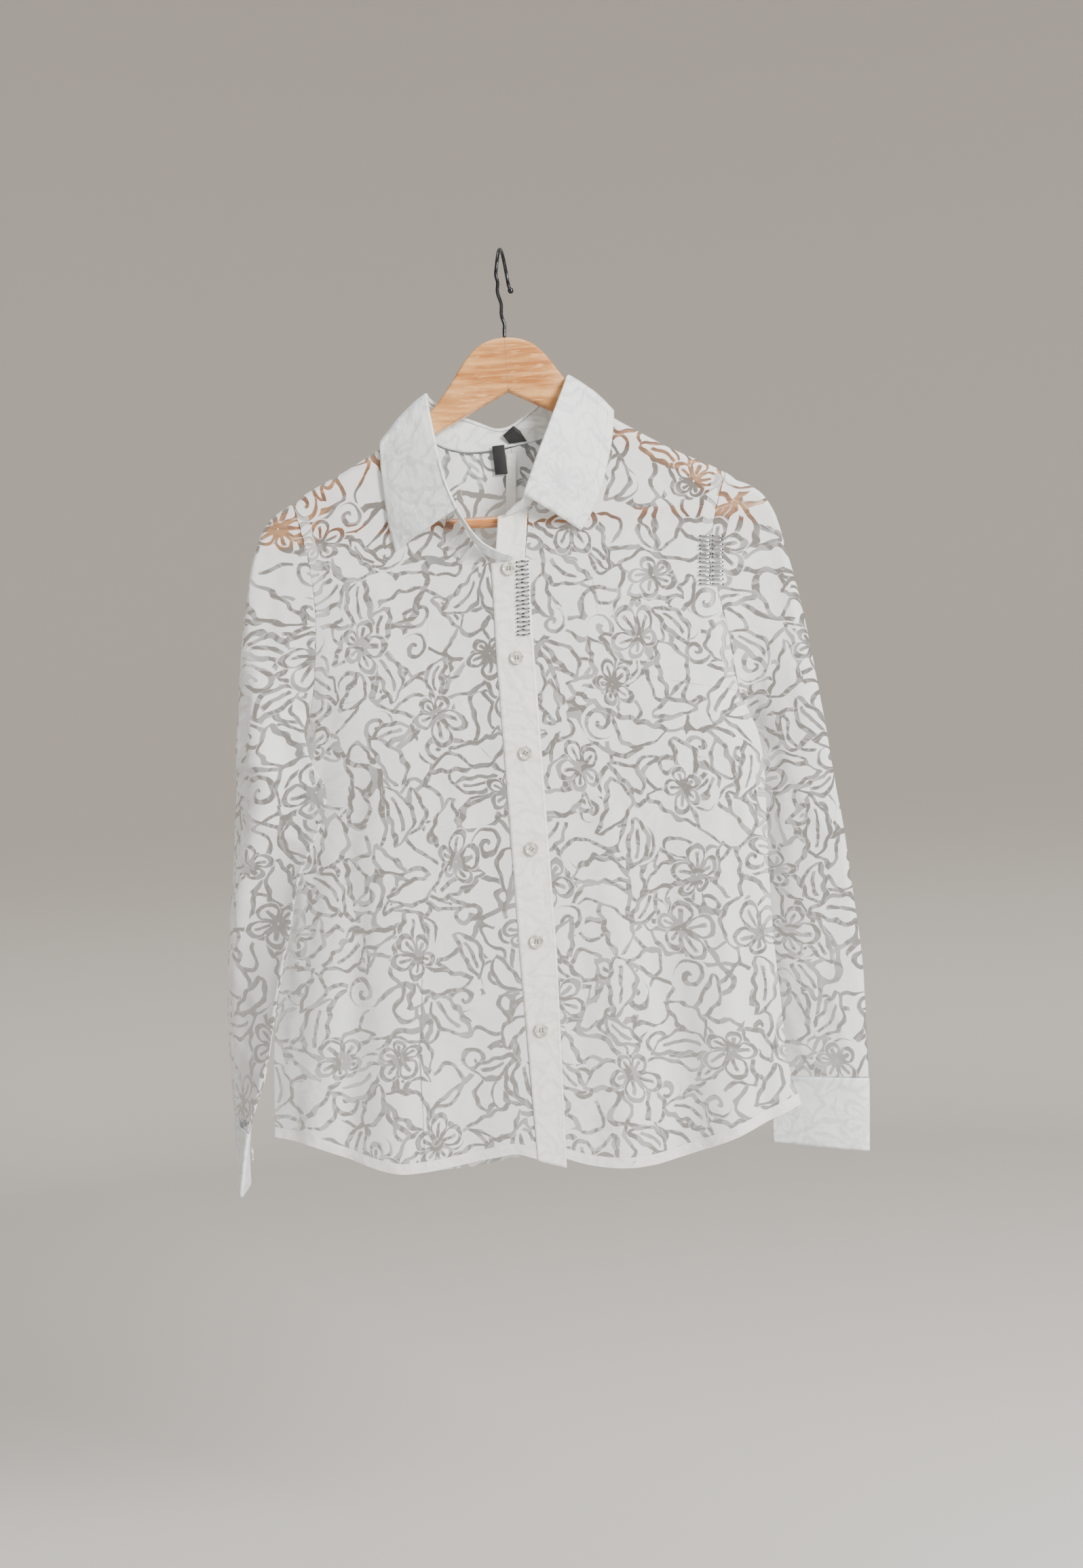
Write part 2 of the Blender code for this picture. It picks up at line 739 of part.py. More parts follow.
def back_half(wearer_right):
    side = -1 if wearer_right else 1
    neck = NECK_BACK_RIGHT if wearer_right else NECK_BACK_LEFT
    armhole = ARMHOLE_RIGHT if wearer_right else ARMHOLE_LEFT
    seam = SIDE_RIGHT if wearer_right else SIDE_LEFT
    hem = HEM_BACK_RIGHT if wearer_right else HEM_BACK_LEFT

    def inner(v):
        return path_at(BACK_CENTRE, v)[0]

    grid = panel_grid(
        neck, armhole, seam, hem, inner, BACK_ACROSS, lambda x, z: body_y(x, z, True)
    )
    grid[:, 0, 0] += side * GAP / 2
    return grid


def back_seam_grid():
    """The allowance of the centre-back seam, pressed open inside."""
    rows = []
    for x, z in path_at(BACK_CENTRE, np.linspace(0.008, 0.99, 22)):
        across = np.linspace(-SEAM_STRIP_WIDTH / 2, SEAM_STRIP_WIDTH / 2, 3)
        rows.append([(x + a, body_y(x + a, z, True) - SINGLE - 2 * GAP, z) for a in across])
    return np.array(rows)


def placket_grid(over):
    """The over-placket, or the under band behind it, made from the front's points."""
    rows = []
    for t in np.linspace(0, 1, 25):
        if over:
            z_mid = PLACKET_OUTER[0].z + t * (PLACKET_HEM_Z[0] - PLACKET_OUTER[0].z)
            low, high = placket_edges(z_mid)
            tops, ends, out, spans = PLACKET_TOP_Z, PLACKET_HEM_Z, PLACKET_OUT, 5
        else:
            z_mid = UNDER_TOP_Z[0] + t * (UNDER_HEM_Z[0] - UNDER_TOP_Z[0])
            high = under_seam_x(z_mid) - GAP
            low = high - UNDER_WIDTH
            tops, ends, out, spans = UNDER_TOP_Z, UNDER_HEM_Z, -UNDER_IN, 4
        row = []
        for s in np.linspace(0, 1, spans):
            x = low + s * (high - low)
            top = tops[0] + s * (tops[1] - tops[0])
            end = ends[0] + s * (ends[1] - ends[0])
            row.append(front_point(x, top + t * (end - top), out))
        rows.append(row)
    return np.array(rows)


def armhole_ring(armhole, wearer_right):
    """The sleeve's first ring: the armhole, front and back, just off the panels."""
    side = -1 if wearer_right else 1
    ring = []
    for t, face in RING:
        x, z = path_at(armhole, t)[0]
        y = body_y(x, z, face > 0) if 0 < t < 1 else 0.0
        ring.append((x + side * 2 * GAP, y, z))
    return np.array(ring)


def ring_depth(section, t, length):
    """Half the thickness of a sleeve or cuff at this share of the way from its outer fold."""
    edge_in = smooth_step((1 - t) * length / INNER_ROUND)
    depth = section.half * quarter_round(t * length / section.round)
    return min(depth, INNER_HALF + (section.half - INNER_HALF) * edge_in)


def sleeve_rings(first, table, wearer_right):
    """Rings about the arm from the table's sections. The first ones blend out of the
    armhole, and the crease at the elbow lifts the front of the others."""
    side = -1 if wearer_right else 1
    outer = np.array([(s.outer_x, s.outer_y, s.outer_z) for s in table], float)
    inner = np.array([(s.inner_x, s.inner_y, s.inner_z) for s in table], float)
    along = np.gradient((outer + inner) / 2, axis=0)
    rings = [] if first is None else [first]
    for n, section in enumerate(table):
        chord = outer[n] - inner[n]
        length = np.linalg.norm(chord)
        to_back = np.cross(chord, along[n]) * side
        to_back /= np.linalg.norm(to_back)
        blend = 1.0 if first is None else smooth_step((n + 1) / (ARMHOLE_BLENDS + 1))
        ring = []
        for k, (t, face) in enumerate(RING):
            depth = ring_depth(section, t, length)
            if face < 0:
                depth += section.ridge * math.exp(-(((t - RIDGE_AT) / RIDGE_WIDTH) ** 2))
            if t in (0, 1):
                depth = 0.0
            own = to_back * face * depth
            if blend < 1:
                straight = first[0] + (first[len(RING_PLACES) - 1] - first[0]) * t
                own = own * blend + (first[k] - straight) * (1 - blend)
            ring.append(outer[n] - chord * t + own)
        rings.append(np.array(ring))
    return np.array(rings)


def station_table():
    """Neck seam, fold and edge of each station, with the depths that the body gives."""
    rows = []
    for s in STATIONS:
        back = s.face > 0
        neck_y = body_y(s.neck_x, s.neck_z, back) if s.face else 0.0
        if s.face < 0 and s.neck_x < 0:
            shift = panel_shift(s.neck_x, s.neck_z, True)
            neck_y -= min(shift, PANEL_OUT)
        neck = (s.neck_x, neck_y, s.neck_z)
        fold = (s.fold_x, s.fold_y, s.fold_z)
        low_z = min(s.edge_z, shoulder_z(s.edge_x) - SHOULDER_WRAP)
        edge_y = body_y(s.edge_x, low_z, back) + s.face * EDGE_OFF
        edge = (s.edge_x, edge_y, s.edge_z)
        if not s.face:
            edge = (s.edge_x, 0.0, shoulder_z(s.edge_x) + EDGE_OVER_CREST)
        rows.append(neck + fold + edge)
    return np.array(rows, float)


def station_lines(count):
    """Neck, fold and edge points at evenly spread places along the collar: of the whole
    stand, and of the stretch that carries the fall."""
    table = station_table()
    places = np.linspace(0, 1, count)
    base = path_at(table[:, :6], places, even=True)
    spread = path_at(table[FALL_FROM : FALL_TO + 1], places, even=True)
    return base, spread


def unit(vectors):
    return vectors / np.maximum(np.linalg.norm(vectors, axis=-1, keepdims=True), 1e-9)


def stand_grid(count=56, levels=4):
    base, _ = station_lines(count)
    neck, fold = base[:, :3], base[:, 3:]
    up = unit(fold - neck)
    low = neck + up * STAND_ROOM
    high = fold - up * STAND_SHORT
    steps = np.linspace(0, 1, levels)[:, None, None]
    return low[None] * (1 - steps) + high[None] * steps


def fall_grid(count=44):
    """The fall: it leaves the stand's top, rolls over and runs down to its outer edge."""
    _, spread = station_lines(count)
    neck, fold, edge = spread[:, :3], spread[:, 3:6], spread[:, 6:]
    up = unit(fold - neck)
    to_edge = edge - fold
    out = unit(np.cross(up, np.gradient(fold, axis=0)))
    out *= np.sign(np.sum(out * to_edge, axis=1, keepdims=True))
    levels = [fold - up * row.down + out * row.out for row in FALL_ROLL]
    start = levels[-1]
    for s in FALL_STEPS:
        swell = out * FALL_SWELL * math.sin(math.pi * s)
        levels.append(start + (edge - start) * s + swell)
    return np.array(levels)


def turned(name, profile, sides, finish, place, turn=0.0, facing=None):
    """A solid turned about its own axis from (radius, height) rows that start and end on
    the axis, its face towards facing."""
    points, faces, rings = [], [], []
    for radius, height in profile:
        if radius == 0:
            rings.append([len(points)])
            points.append((0.0, height, 0.0))
            continue
        ring = []
        for k in range(sides):
            angle = 2 * math.pi * k / sides + math.radians(turn)
            ring.append(len(points))
            points.append((radius * math.cos(angle), height, radius * math.sin(angle)))
        rings.append(ring)
    for low, high in zip(rings, rings[1:]):
        for k in range(sides):
            quad = [low[k % len(low)], low[(k + 1) % len(low)]]
            quad += [high[(k + 1) % len(high)], high[k % len(high)]]
            faces.append(tuple(dict.fromkeys(quad)))
    y_axis = unit(np.array(facing if facing is not None else (0.0, -1.0, 0.0)))
    x_axis = unit(np.cross(y_axis, (0.0, 0.0, 1.0)))
    z_axis = np.cross(x_axis, y_axis)
    base = np.array(place)
    world = [base + x_axis * p[0] + y_axis * p[1] + z_axis * p[2] for p in points]
    made = add_object(name, world, faces, finish)
    face_outwards(made)
    return made


def button(name, place, turn=0.0, facing=None):
    profile = [
        (0, BUTTON_BACK),
        (BUTTON_RADIUS - BUTTON_CHAMFER, BUTTON_BACK),
        (BUTTON_RADIUS, BUTTON_BACK + BUTTON_CHAMFER),
        (BUTTON_RADIUS, BUTTON_RIM - BUTTON_CHAMFER),
        (BUTTON_RADIUS - BUTTON_RIM_IN, BUTTON_RIM),
        (BUTTON_RADIUS - BUTTON_DISH_IN, BUTTON_FACE),
        (0, BUTTON_FACE),
    ]
    return turned(name, profile, 16, "pearly_button", place, turn, facing)


def front_buttons():
    out = PLACKET_OUT + DOUBLE / 2 + GAP - BUTTON_BACK + BUTTON_STANDS_OFF
    for number, (x, z, turn) in enumerate(BUTTONS, 1):
        low, high = z - BUTTON_RADIUS, z + BUTTON_RADIUS
        slope = body_y(x, low, False) - body_y(x, high, False)
        facing = (0, low - high, -slope)
        button(f"button_{number}", front_point(x, z, out), turn, facing)


def cuff_button(name, table, share, wearer_right):
    """A button on the back face of a cuff, at this share of its width from the outer fold."""
    side = -1 if wearer_right else 1
    middle = np.mean([np.array(row[:6], float) for row in table[1:3]], axis=0)
    outer, inner = middle[:3], middle[3:]
    chord = outer - inner
    to_back = unit(np.cross(chord, (0, 0, -1)) * side)
    depth = ring_depth(table[1], share, np.linalg.norm(chord))
    out = depth + DOUBLE / 2 + GAP - BUTTON_BACK + CUFF_BUTTON_STANDS_OFF
    button(name, outer - chord * share + to_back * out, 0, to_back)


def label(name, outline, y):
    """A flat label with this outline, hanging at this depth."""
    count = len(outline)
    front = [(p.x, y - LABEL_WALL / 2, p.z) for p in outline]
    rear = [(p.x, y + LABEL_WALL / 2, p.z) for p in outline]
    faces = [tuple(range(count)), tuple(reversed(range(count, 2 * count)))]
    for k in range(count):
        nxt = (k + 1) % count
        faces.append((nxt, k, k + count, nxt + count))
    made = add_object(name, front + rear, faces, "black_label")
    face_outwards(made)
    return made


def loft(name, rings, finish):
    """A solid through rings of as many points each, closed flat at both ends."""
    size = len(rings[0])
    points = [point for ring in rings for point in ring]
    faces = []
    for n in range(len(rings) - 1):
        for k in range(size):
            a, b = n * size + k, n * size + (k + 1) % size
            faces.append((a, a + size, b + size, b))
    faces.append(tuple(range(size)))
    faces.append(tuple(range(len(points) - size, len(points)))[::-1])
    made = add_object(name, points, faces, finish)
    face_outwards(made)
    return made


def hanger_arm(name, side):
    """One half of the wooden hanger, with rounded edges, in sections from the centre to the
    tip. The halves meet on the centre."""
    rings = []
    for x in (*WOOD_SECTIONS, WOOD_TIP_X):
        tip = smooth_step((x - TIP_ROOM_FROM) / (TIP_ROOM_TO - TIP_ROOM_FROM))
        top = shoulder_z(x) - WOOD_UNDER_CLOTH - TIP_ROOM * tip
        low = np.interp(x, [p.x for p in WOOD_UNDERSIDE], [p.z for p in WOOD_UNDERSIDE])
        taper = smooth_step((x - WOOD_TAPER_FROM) / (WOOD_TIP_X - WOOD_TAPER_FROM))
        half = WOOD_THICK / 2 * (1 - WOOD_TAPER * taper)
        edge = min(WOOD_EDGE, (top - low) * 0.45, half * 0.7)
        ring = []
        for y_sign, z_sign in ((1, 1), (1, -1), (-1, -1), (-1, 1)):
            for degrees in (0, 45, 90):
                angle = math.radians(degrees if y_sign * z_sign < 0 else 90 - degrees)
                y = y_sign * (half - edge + edge * math.cos(angle))
                corner = top - edge if z_sign > 0 else low + edge
                ring.append((side * x, y, corner + z_sign * edge * math.sin(angle)))
        rings.append(ring)
    return loft(name, rings, "pale_wood")


def tube(name, centres, radii, sides, finish):
    """A closed round tube along centres, with a point at each end."""
    centres = np.array(centres, float)
    along = unit(np.gradient(centres, axis=0))
    across = unit(np.cross(along, (1.0, 0.0, 0.001)))
    other = np.cross(along, across)
    points, faces = [tuple(centres[0])], []
    for n in range(1, len(centres) - 1):
        for k in range(sides):
            angle = 2 * math.pi * k / sides
            turn = across[n] * math.cos(angle) + other[n] * math.sin(angle)
            points.append(tuple(centres[n] + turn * radii[n]))
    points.append(tuple(centres[-1]))
    rings = len(centres) - 2
    for k in range(sides):
        nxt = (k + 1) % sides
        faces.append((0, 1 + k, 1 + nxt))
        for n in range(rings - 1):
            a, b = 1 + n * sides, 1 + (n + 1) * sides
            faces.append((a + k, b + k, b + nxt, a + nxt))
        last = 1 + (rings - 1) * sides
        faces.append((last + k, len(points) - 1, last + nxt))
    made = add_object(name, points, faces, finish)
    face_outwards(made)
    return made


def hanger_hook():
    """The wire from the wood up the front, over the crest and down behind, with a ball."""
    reach = HOOK_RADIUS + HOOK_WIRE / 2
    foot = Wire(0, 0, SHOULDER_LINE[0].z - WOOD_UNDER_CLOTH + GAP)
    arc = []
    for degrees in range(HOOK_LEANS[0].degrees, HOOK_LEANS[-1].degrees - 1, -HOOK_ARC_STEP):
        angle = math.radians(degrees)
        lean = np.interp(-degrees, [-row.degrees for row in HOOK_LEANS], [row.x for row in HOOK_LEANS])
        crest = HOOK_WIRE / 2 - reach
        arc.append(Wire(lean, reach * math.cos(angle), crest + reach * math.sin(angle)))
    line = path_at([foot] + HOOK_STEM + arc, np.linspace(0, 1, 34))
    heading = unit(line[-1] - line[-2])
    tip = line[-1] + heading * HOOK_BALL_AT
    ball = [tip + heading * row.along for row in HOOK_BALL]
    centres = [line[0] - np.array((0, 0, 0.01))] + list(line[:-1]) + ball
    radii = [0.0] + [HOOK_WIRE / 2] * (len(line) - 1) + [row.radius for row in HOOK_BALL]
    return tube("hanger_hook", centres, radii, 10, "dark_steel")


def hanger_bar():
    """The round bar between the arms' ends."""
    end = BAR_END_X - GAP
    rings = []
    for x in (-end, -end / 3, end / 3, end):
        angles = [2 * math.pi * k / BAR_SIDES for k in range(BAR_SIDES)]
        rings.append(
            [(x, BAR_RADIUS * math.cos(a), BAR_Z + BAR_RADIUS * math.sin(a)) for a in angles]
        )
    return loft("hanger_bar", rings, "bar_wood")


def build():
    clear_scene()
    cloth_wall("front_right", front_right(), SINGLE, "sheer_cloth")
    cloth_wall("front_left", front_left(), SINGLE, "sheer_cloth")
    cloth_wall("back_right", back_half(True), SINGLE, "sheer_cloth")
    cloth_wall("back_left", back_half(False), SINGLE, "sheer_cloth")
    cloth_wall("back_seam", back_seam_grid(), SINGLE, "crisp_cloth")
    cloth_wall("placket_over", placket_grid(True), DOUBLE, "placket_cloth")
    cloth_wall("placket_under", placket_grid(False), DOUBLE, "placket_cloth")
    sides = (
        ("right", ARMHOLE_RIGHT, SLEEVE_RIGHT, CUFF_RIGHT, CUFF_BUTTON_SHARE_RIGHT),
        ("left", ARMHOLE_LEFT, SLEEVE_LEFT, CUFF_LEFT, CUFF_BUTTON_SHARE_LEFT),
    )
    for side, armhole, sleeve, cuff, share in sides:
        right = side == "right"
        ring = armhole_ring(armhole, right)
        rings = sleeve_rings(ring, sleeve, right)
        cloth_wall(f"sleeve_{side}", rings, SINGLE, "sheer_cloth", ring=True)
        rings = sleeve_rings(None, cuff, right)
        cloth_wall(f"cuff_{side}", rings, DOUBLE, "crisp_cloth", ring=True)
        cuff_button(f"cuff_button_{side}", cuff, share, right)
    cloth_wall("collar_stand", stand_grid(), DOUBLE, "crisp_cloth")
    cloth_wall("collar_fall", fall_grid(), DOUBLE, "crisp_cloth")
    front_buttons()
    label("label_long", LABEL_LONG, LABEL_LONG_Y)
    label("label_folded", LABEL_FOLDED, LABEL_FOLDED_Y)
    hanger_arm("hanger_arm_right", -1)
    hanger_arm("hanger_arm_left", 1)
    hanger_bar()
    hanger_hook()


build()
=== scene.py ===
import math
from collections import namedtuple

import bpy
import numpy as np
from mathutils import Matrix, Vector, noise


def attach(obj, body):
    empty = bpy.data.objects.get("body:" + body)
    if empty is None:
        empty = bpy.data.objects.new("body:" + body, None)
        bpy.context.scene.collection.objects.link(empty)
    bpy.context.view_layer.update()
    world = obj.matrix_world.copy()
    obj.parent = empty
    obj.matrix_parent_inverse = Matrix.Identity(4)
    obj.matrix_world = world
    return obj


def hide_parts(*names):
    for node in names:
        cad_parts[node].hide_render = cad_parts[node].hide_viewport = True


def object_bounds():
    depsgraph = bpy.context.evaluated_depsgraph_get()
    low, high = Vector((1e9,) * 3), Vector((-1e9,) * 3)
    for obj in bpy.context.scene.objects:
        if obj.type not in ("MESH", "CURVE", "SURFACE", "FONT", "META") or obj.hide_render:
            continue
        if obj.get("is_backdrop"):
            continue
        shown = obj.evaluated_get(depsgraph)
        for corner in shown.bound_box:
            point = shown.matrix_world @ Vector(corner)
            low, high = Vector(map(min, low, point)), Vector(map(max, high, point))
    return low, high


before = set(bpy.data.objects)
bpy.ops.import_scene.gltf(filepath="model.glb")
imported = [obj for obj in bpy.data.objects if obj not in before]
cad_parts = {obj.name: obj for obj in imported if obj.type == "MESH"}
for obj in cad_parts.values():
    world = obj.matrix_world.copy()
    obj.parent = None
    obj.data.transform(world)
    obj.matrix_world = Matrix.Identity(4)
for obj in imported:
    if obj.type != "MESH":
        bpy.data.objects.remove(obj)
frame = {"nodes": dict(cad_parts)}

# Sheer shirt on its hanger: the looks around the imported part. Tables and sizes are in
# millimetres and repeat those of the part, so each cloth lies on its own solid.
MM = 0.001

# Walls of cloth and the room between pieces
SINGLE = 1.2
DOUBLE = 1.6
GAP = 0.3

# Hanger
WOOD_THICK = 12.0
WOOD_EDGE = 3.8
WOOD_UNDER_CLOTH = 2.2
TIP_ROOM = 1.4
TIP_ROOM_FROM = 178.0
TIP_ROOM_TO = 196.0
HOOK_WIRE = 3.0
HOOK_RADIUS = 18.0

# Body
SHOULDER_WRAP = 8.0
SEAM_HALF_GAP = 0.25
SIDE_HALF = 0.85
SIDE_ROUND = 80.0
SIDE_SHIFT_WIDTH = 100.0
ARMHOLE_ROUND = 45.0
PLACKET_OUT = 1.6
PANEL_OUT = 1.4
UNDER_IN = 0.8
PLACKET_BLEND = 22.0
UNDER_LAP = 3.0
UNDER_WIDTH = 26.0
SEAM_STRIP_WIDTH = 9.0
BAND_BLEND = 60.0
RISE_POWER = 1.2
FOLD_EDGE_ROOM = 30.0
UNDER_ARM_Z = -380.0
UNDER_ARM_BLEND = 80.0
HEM_Z = -785.0

# Buttons
BUTTON_RADIUS = 6.0
BUTTON_SIDES = 40
BUTTON_FACE = 0.4
BUTTON_RIM = 1.0
BUTTON_BACK = -1.1
BUTTON_STANDS_OFF = 0.15
CUFF_BUTTON_STANDS_OFF = 0.25
CUFF_BUTTON_SHARE_RIGHT = 0.3
CUFF_BUTTON_SHARE_LEFT = 0.5

Point = namedtuple("Point", "x z")
Depth = namedtuple("Depth", "z front back")
Meet = namedtuple("Meet", "z right left")
Fold = namedtuple("Fold", "x_top z_top x_hem width height")
Section = namedtuple(
    "Section", "outer_x outer_y outer_z inner_x inner_y inner_z half round ridge"
)
Station = namedtuple("Station", "face neck_x neck_z fold_x fold_y fold_z edge_x edge_z")
Roll = namedtuple("Roll", "down out")
Wire = namedtuple("Wire", "x y z")
Lean = namedtuple("Lean", "degrees x")
Swell = namedtuple("Swell", "along radius")

# The line of the shoulder, seen from the front, from the neck to past the hanger's tip
SHOULDER_LINE = [
    Point(0, -72),
    Point(12, -73.5),
    Point(22, -77.5),
    Point(34, -88.5),
    Point(45, -104),
    Point(53, -115),
    Point(66, -130.5),
    Point(88, -147.5),
    Point(115, -164.5),
    Point(143, -181),
    Point(174, -195.5),
    Point(188, -204.5),
    Point(199, -210.5),
    Point(210, -218.5),
    Point(218.7, -230),
    Point(222.7, -241.6),
]
WOOD_UNDERSIDE = [
    Point(0, -121),
    Point(65, -154),
    Point(110, -181),
    Point(150, -203),
    Point(171.8, -226),
    Point(172, -240),
    Point(190, -243.5),
    Point(206, -246),
    Point(219, -244),
    Point(221, -243),
]
WOOD_TIP_X = 218.5
WOOD_TAPER_FROM = 196.0
WOOD_TAPER = 0.5

# The hook: its stem, the way it leans along its arc, and the ball on its end
HOOK_STEM = [
    Wire(0, 0, -66),
    Wire(-0.5, -1, -58),
    Wire(-1.5, -5, -50),
    Wire(-2.5, -10, -42),
    Wire(-3.5, -16, -33),
]
HOOK_LEANS = [Lean(195, -4.0), Lean(90, 1.25), Lean(-30, 6.65)]
HOOK_ARC_STEP = 15
HOOK_SIDES = 20
HOOK_WAVE, HOOK_WAVE_LENGTH = 0.7, 17.0
HOOK_WAVE_TOP, HOOK_WAVE_FOOT = -18.0, -72.0
HOOK_BALL_AT = 2.0
HOOK_BALL = [
    Swell(-2.4, 1.7),
    Swell(-1.2, 2.4),
    Swell(0.2, 2.6),
    Swell(1.5, 2.2),
    Swell(2.4, 1.1),
    Swell(2.7, 0),
]

# Edges of the panels, seen from the front
NECK_FRONT_RIGHT = [
    Point(-23.4, -269.5),
    Point(-32, -256),
    Point(-48.5, -228),
    Point(-62, -199),
    Point(-70.5, -177),
    Point(-77, -161),
    Point(-84, -144.6),
]
NECK_FRONT_LEFT = [
    Point(11.8, -222),
    Point(26, -204),
    Point(39, -183),
    Point(48, -165),
    Point(56, -148),
    Point(66, -130.5),
]
NECK_BACK_RIGHT = [
    Point(0, -167.5),
    Point(-16, -170.5),
    Point(-40, -170),
    Point(-62, -163.5),
    Point(-76, -153),
    Point(-84, -144.6),
]
NECK_BACK_LEFT = [
    Point(0, -167.5),
    Point(16, -164),
    Point(34, -160.5),
    Point(48, -153),
    Point(58, -142),
    Point(66, -130.5),
]
ARMHOLE_RIGHT = [
    Point(-190, -206),
    Point(-185.5, -225),
    Point(-180, -252),
    Point(-175.7, -289),
    Point(-176.1, -315),
    Point(-179.8, -358),
    Point(-186, -390),
]
ARMHOLE_LEFT = [
    Point(182.6, -201),
    Point(171.4, -236.4),
    Point(165.5, -277),
    Point(170.6, -308.5),
    Point(177.3, -340.7),
    Point(180.5, -370),
    Point(184, -392),
]
SIDE_RIGHT = [
    Point(-186, -390),
    Point(-189.5, -399),
    Point(-194, -412),
    Point(-197.5, -430),
    Point(-199.5, -452),
    Point(-205, -500),
    Point(-215, -560),
    Point(-226, -615),
    Point(-234, -655),
    Point(-236.6, -690),
    Point(-239.2, -751.5),
]
SIDE_LEFT = [
    Point(184, -392),
    Point(187.5, -400),
    Point(193, -412),
    Point(198, -429),
    Point(200, -450),
    Point(199, -527),
    Point(199.2, -607),
    Point(202.4, -662),
    Point(204, -697),
    Point(207, -724),
    Point(213.8, -745),
]
HEM_FRONT_RIGHT = [
    Point(-13.4, -777),
    Point(-24.5, -773),
    Point(-58, -776),
    Point(-96, -781.5),
    Point(-133, -782),
    Point(-152, -777),
    Point(-180, -767),
    Point(-207, -757),
    Point(-239.2, -751.5),
]
HEM_FRONT_LEFT = [
    Point(9, -777),
    Point(27, -783.5),
    Point(62, -788.5),
    Point(85, -788),
    Point(109, -783.5),
    Point(145, -771.7),
    Point(193, -753.4),
    Point(213.8, -745),
]
HEM_BACK_RIGHT = [
    Point(-9, -781),
    Point(-31, -785),
    Point(-60, -790),
    Point(-92, -791),
    Point(-130, -787),
    Point(-180, -769),
    Point(-239.2, -751.5),
]
HEM_BACK_LEFT = [
    Point(-9, -781),
    Point(40, -783),
    Point(85, -784),
    Point(145, -769),
    Point(213.8, -745),
]
BACK_CENTRE = [Point(0, -167.5), Point(-3, -222), Point(-6, -500), Point(-9, -781)]

# Edges of the over-placket; the under band lies behind it
PLACKET_OUTER = [
    Point(-23.1, -270),
    Point(-22.9, -351),
    Point(-18, -600),
    Point(-13.1, -780),
]
PLACKET_INNER = [Point(8.8, -266), Point(9.5, -351), Point(13.6, -600), Point(11, -786)]
PLACKET_TOP_Z = (-269.2, -266.5)
PLACKET_HEM_Z = (-778.5, -786)
UNDER_TOP_Z = (-229, -223)
UNDER_HEM_Z = (-774, -776)

# Half the depth of the body, front and back, and how far its sides lie forward (-) or back (+)
DEPTHS = [
    Depth(-100, 9.5, 9.5),
    Depth(-250, 10.5, 10.0),
    Depth(-320, 13.5, 12.5),
    Depth(-400, 17.0, 15.0),
    Depth(-500, 21.0, 18.0),
    Depth(-600, 24.0, 21.0),
    Depth(-700, 26.0, 23.0),
    Depth(-800, 27.0, 24.0),
]
ARMHOLE_DEPTHS = [
    Depth(-190, 9.5, 9.5),
    Depth(-280, 10.0, 10.0),
    Depth(-340, 8.5, 8.5),
    Depth(-372, 5.0, 5.0),
    Depth(-391, SIDE_HALF, SIDE_HALF),
    Depth(-800, SIDE_HALF, SIDE_HALF),
]
SIDE_MEETS = [
    Meet(-390, 0.0, 0.0),
    Meet(-400, 1.5, -1.5),
    Meet(-412, 2.8, -3.0),
    Meet(-430, 4.0, -5.0),
    Meet(-460, 6.0, -8.0),
    Meet(-530, 8.0, -13.0),
    Meet(-620, 9.0, -16.0),
    Meet(-760, 8.0, -18.0),
]

# Soft folds: ridges (height over 0) and troughs that grow from z_top down to the hem
FOLDS_FRONT = [
    Fold(-170, -400, -206, 15, 5.0),
    Fold(-150, -430, -176, 20, -6.0),
    Fold(-118, -470, -128, 26, 5.0),
    Fold(-70, -520, -72, 22, -4.5),
    Fold(60, -500, 62, 24, 4.5),
    Fold(112, -430, 110, 22, -5.5),
    Fold(148, -400, 150, 18, 5.5),
    Fold(176, -400, 184, 11, -4.0),
]
FOLDS_BACK = [
    Fold(-140, -300, -170, 24, 6.0),
    Fold(-85, -330, -110, 24, -6.0),
    Fold(-40, -260, -52, 20, 5.0),
    Fold(25, -260, 22, 20, -4.5),
    Fold(70, -330, 84, 24, 6.5),
    Fold(130, -330, 142, 24, -5.5),
]

# Sleeve sections from the armhole to the cuff: the outer fold, the seam under the arm,
# half the thickness, the roundness of its edges and the height of the crease at the elbow
SLEEVE_RIGHT = [
    Section(-201, 0, -212.2, -189.4, -0.4, -391.2, 9.5, 8, 0),
    Section(-212, 0, -220.5, -192.3, -1, -393.4, 9.5, 8, 0),
    Section(-221, 0, -234, -194.8, -1.8, -396.6, 9.8, 8, 0),
    Section(-230, 0, -260, -196.2, -2.8, -401.2, 10, 10, 0),
    Section(-238.5, 2, -305, -196.3, -4.2, -407.5, 11, 14, 3),
    Section(-244.5, 4.5, -345, -195, -6.4, -415, 12, 20, 7),
    Section(-249, 9, -380, -191.5, -9.8, -424.5, 12, 26, 11),
    Section(-252.5, 13.5, -410, -184.5, -15.5, -436, 12, 30, 15),
    Section(-255, 17.5, -436, -174.5, -23, -451, 12, 32, 17),
    Section(-259, 23, -478, -175, -30, -471, 11, 32, 19),
    Section(-262, 26, -504, -186, -33, -498, 10.5, 32, 18),
    Section(-264.5, 28.5, -530, -201, -35.5, -529, 10, 30, 17),
    Section(-269.5, 32, -572, -215.5, -39, -570, 9, 28, 14),
    Section(-274, 35, -618, -227, -42, -615, 8, 26, 10),
    Section(-276, 37, -660, -237, -43, -660, 7.5, 24, 7),
    Section(-275, 39, -700, -246, -42, -702, 7, 22, 4),
    Section(-274, 39.5, -737, -254.5, -40, -738, 6, 20, 1),
]
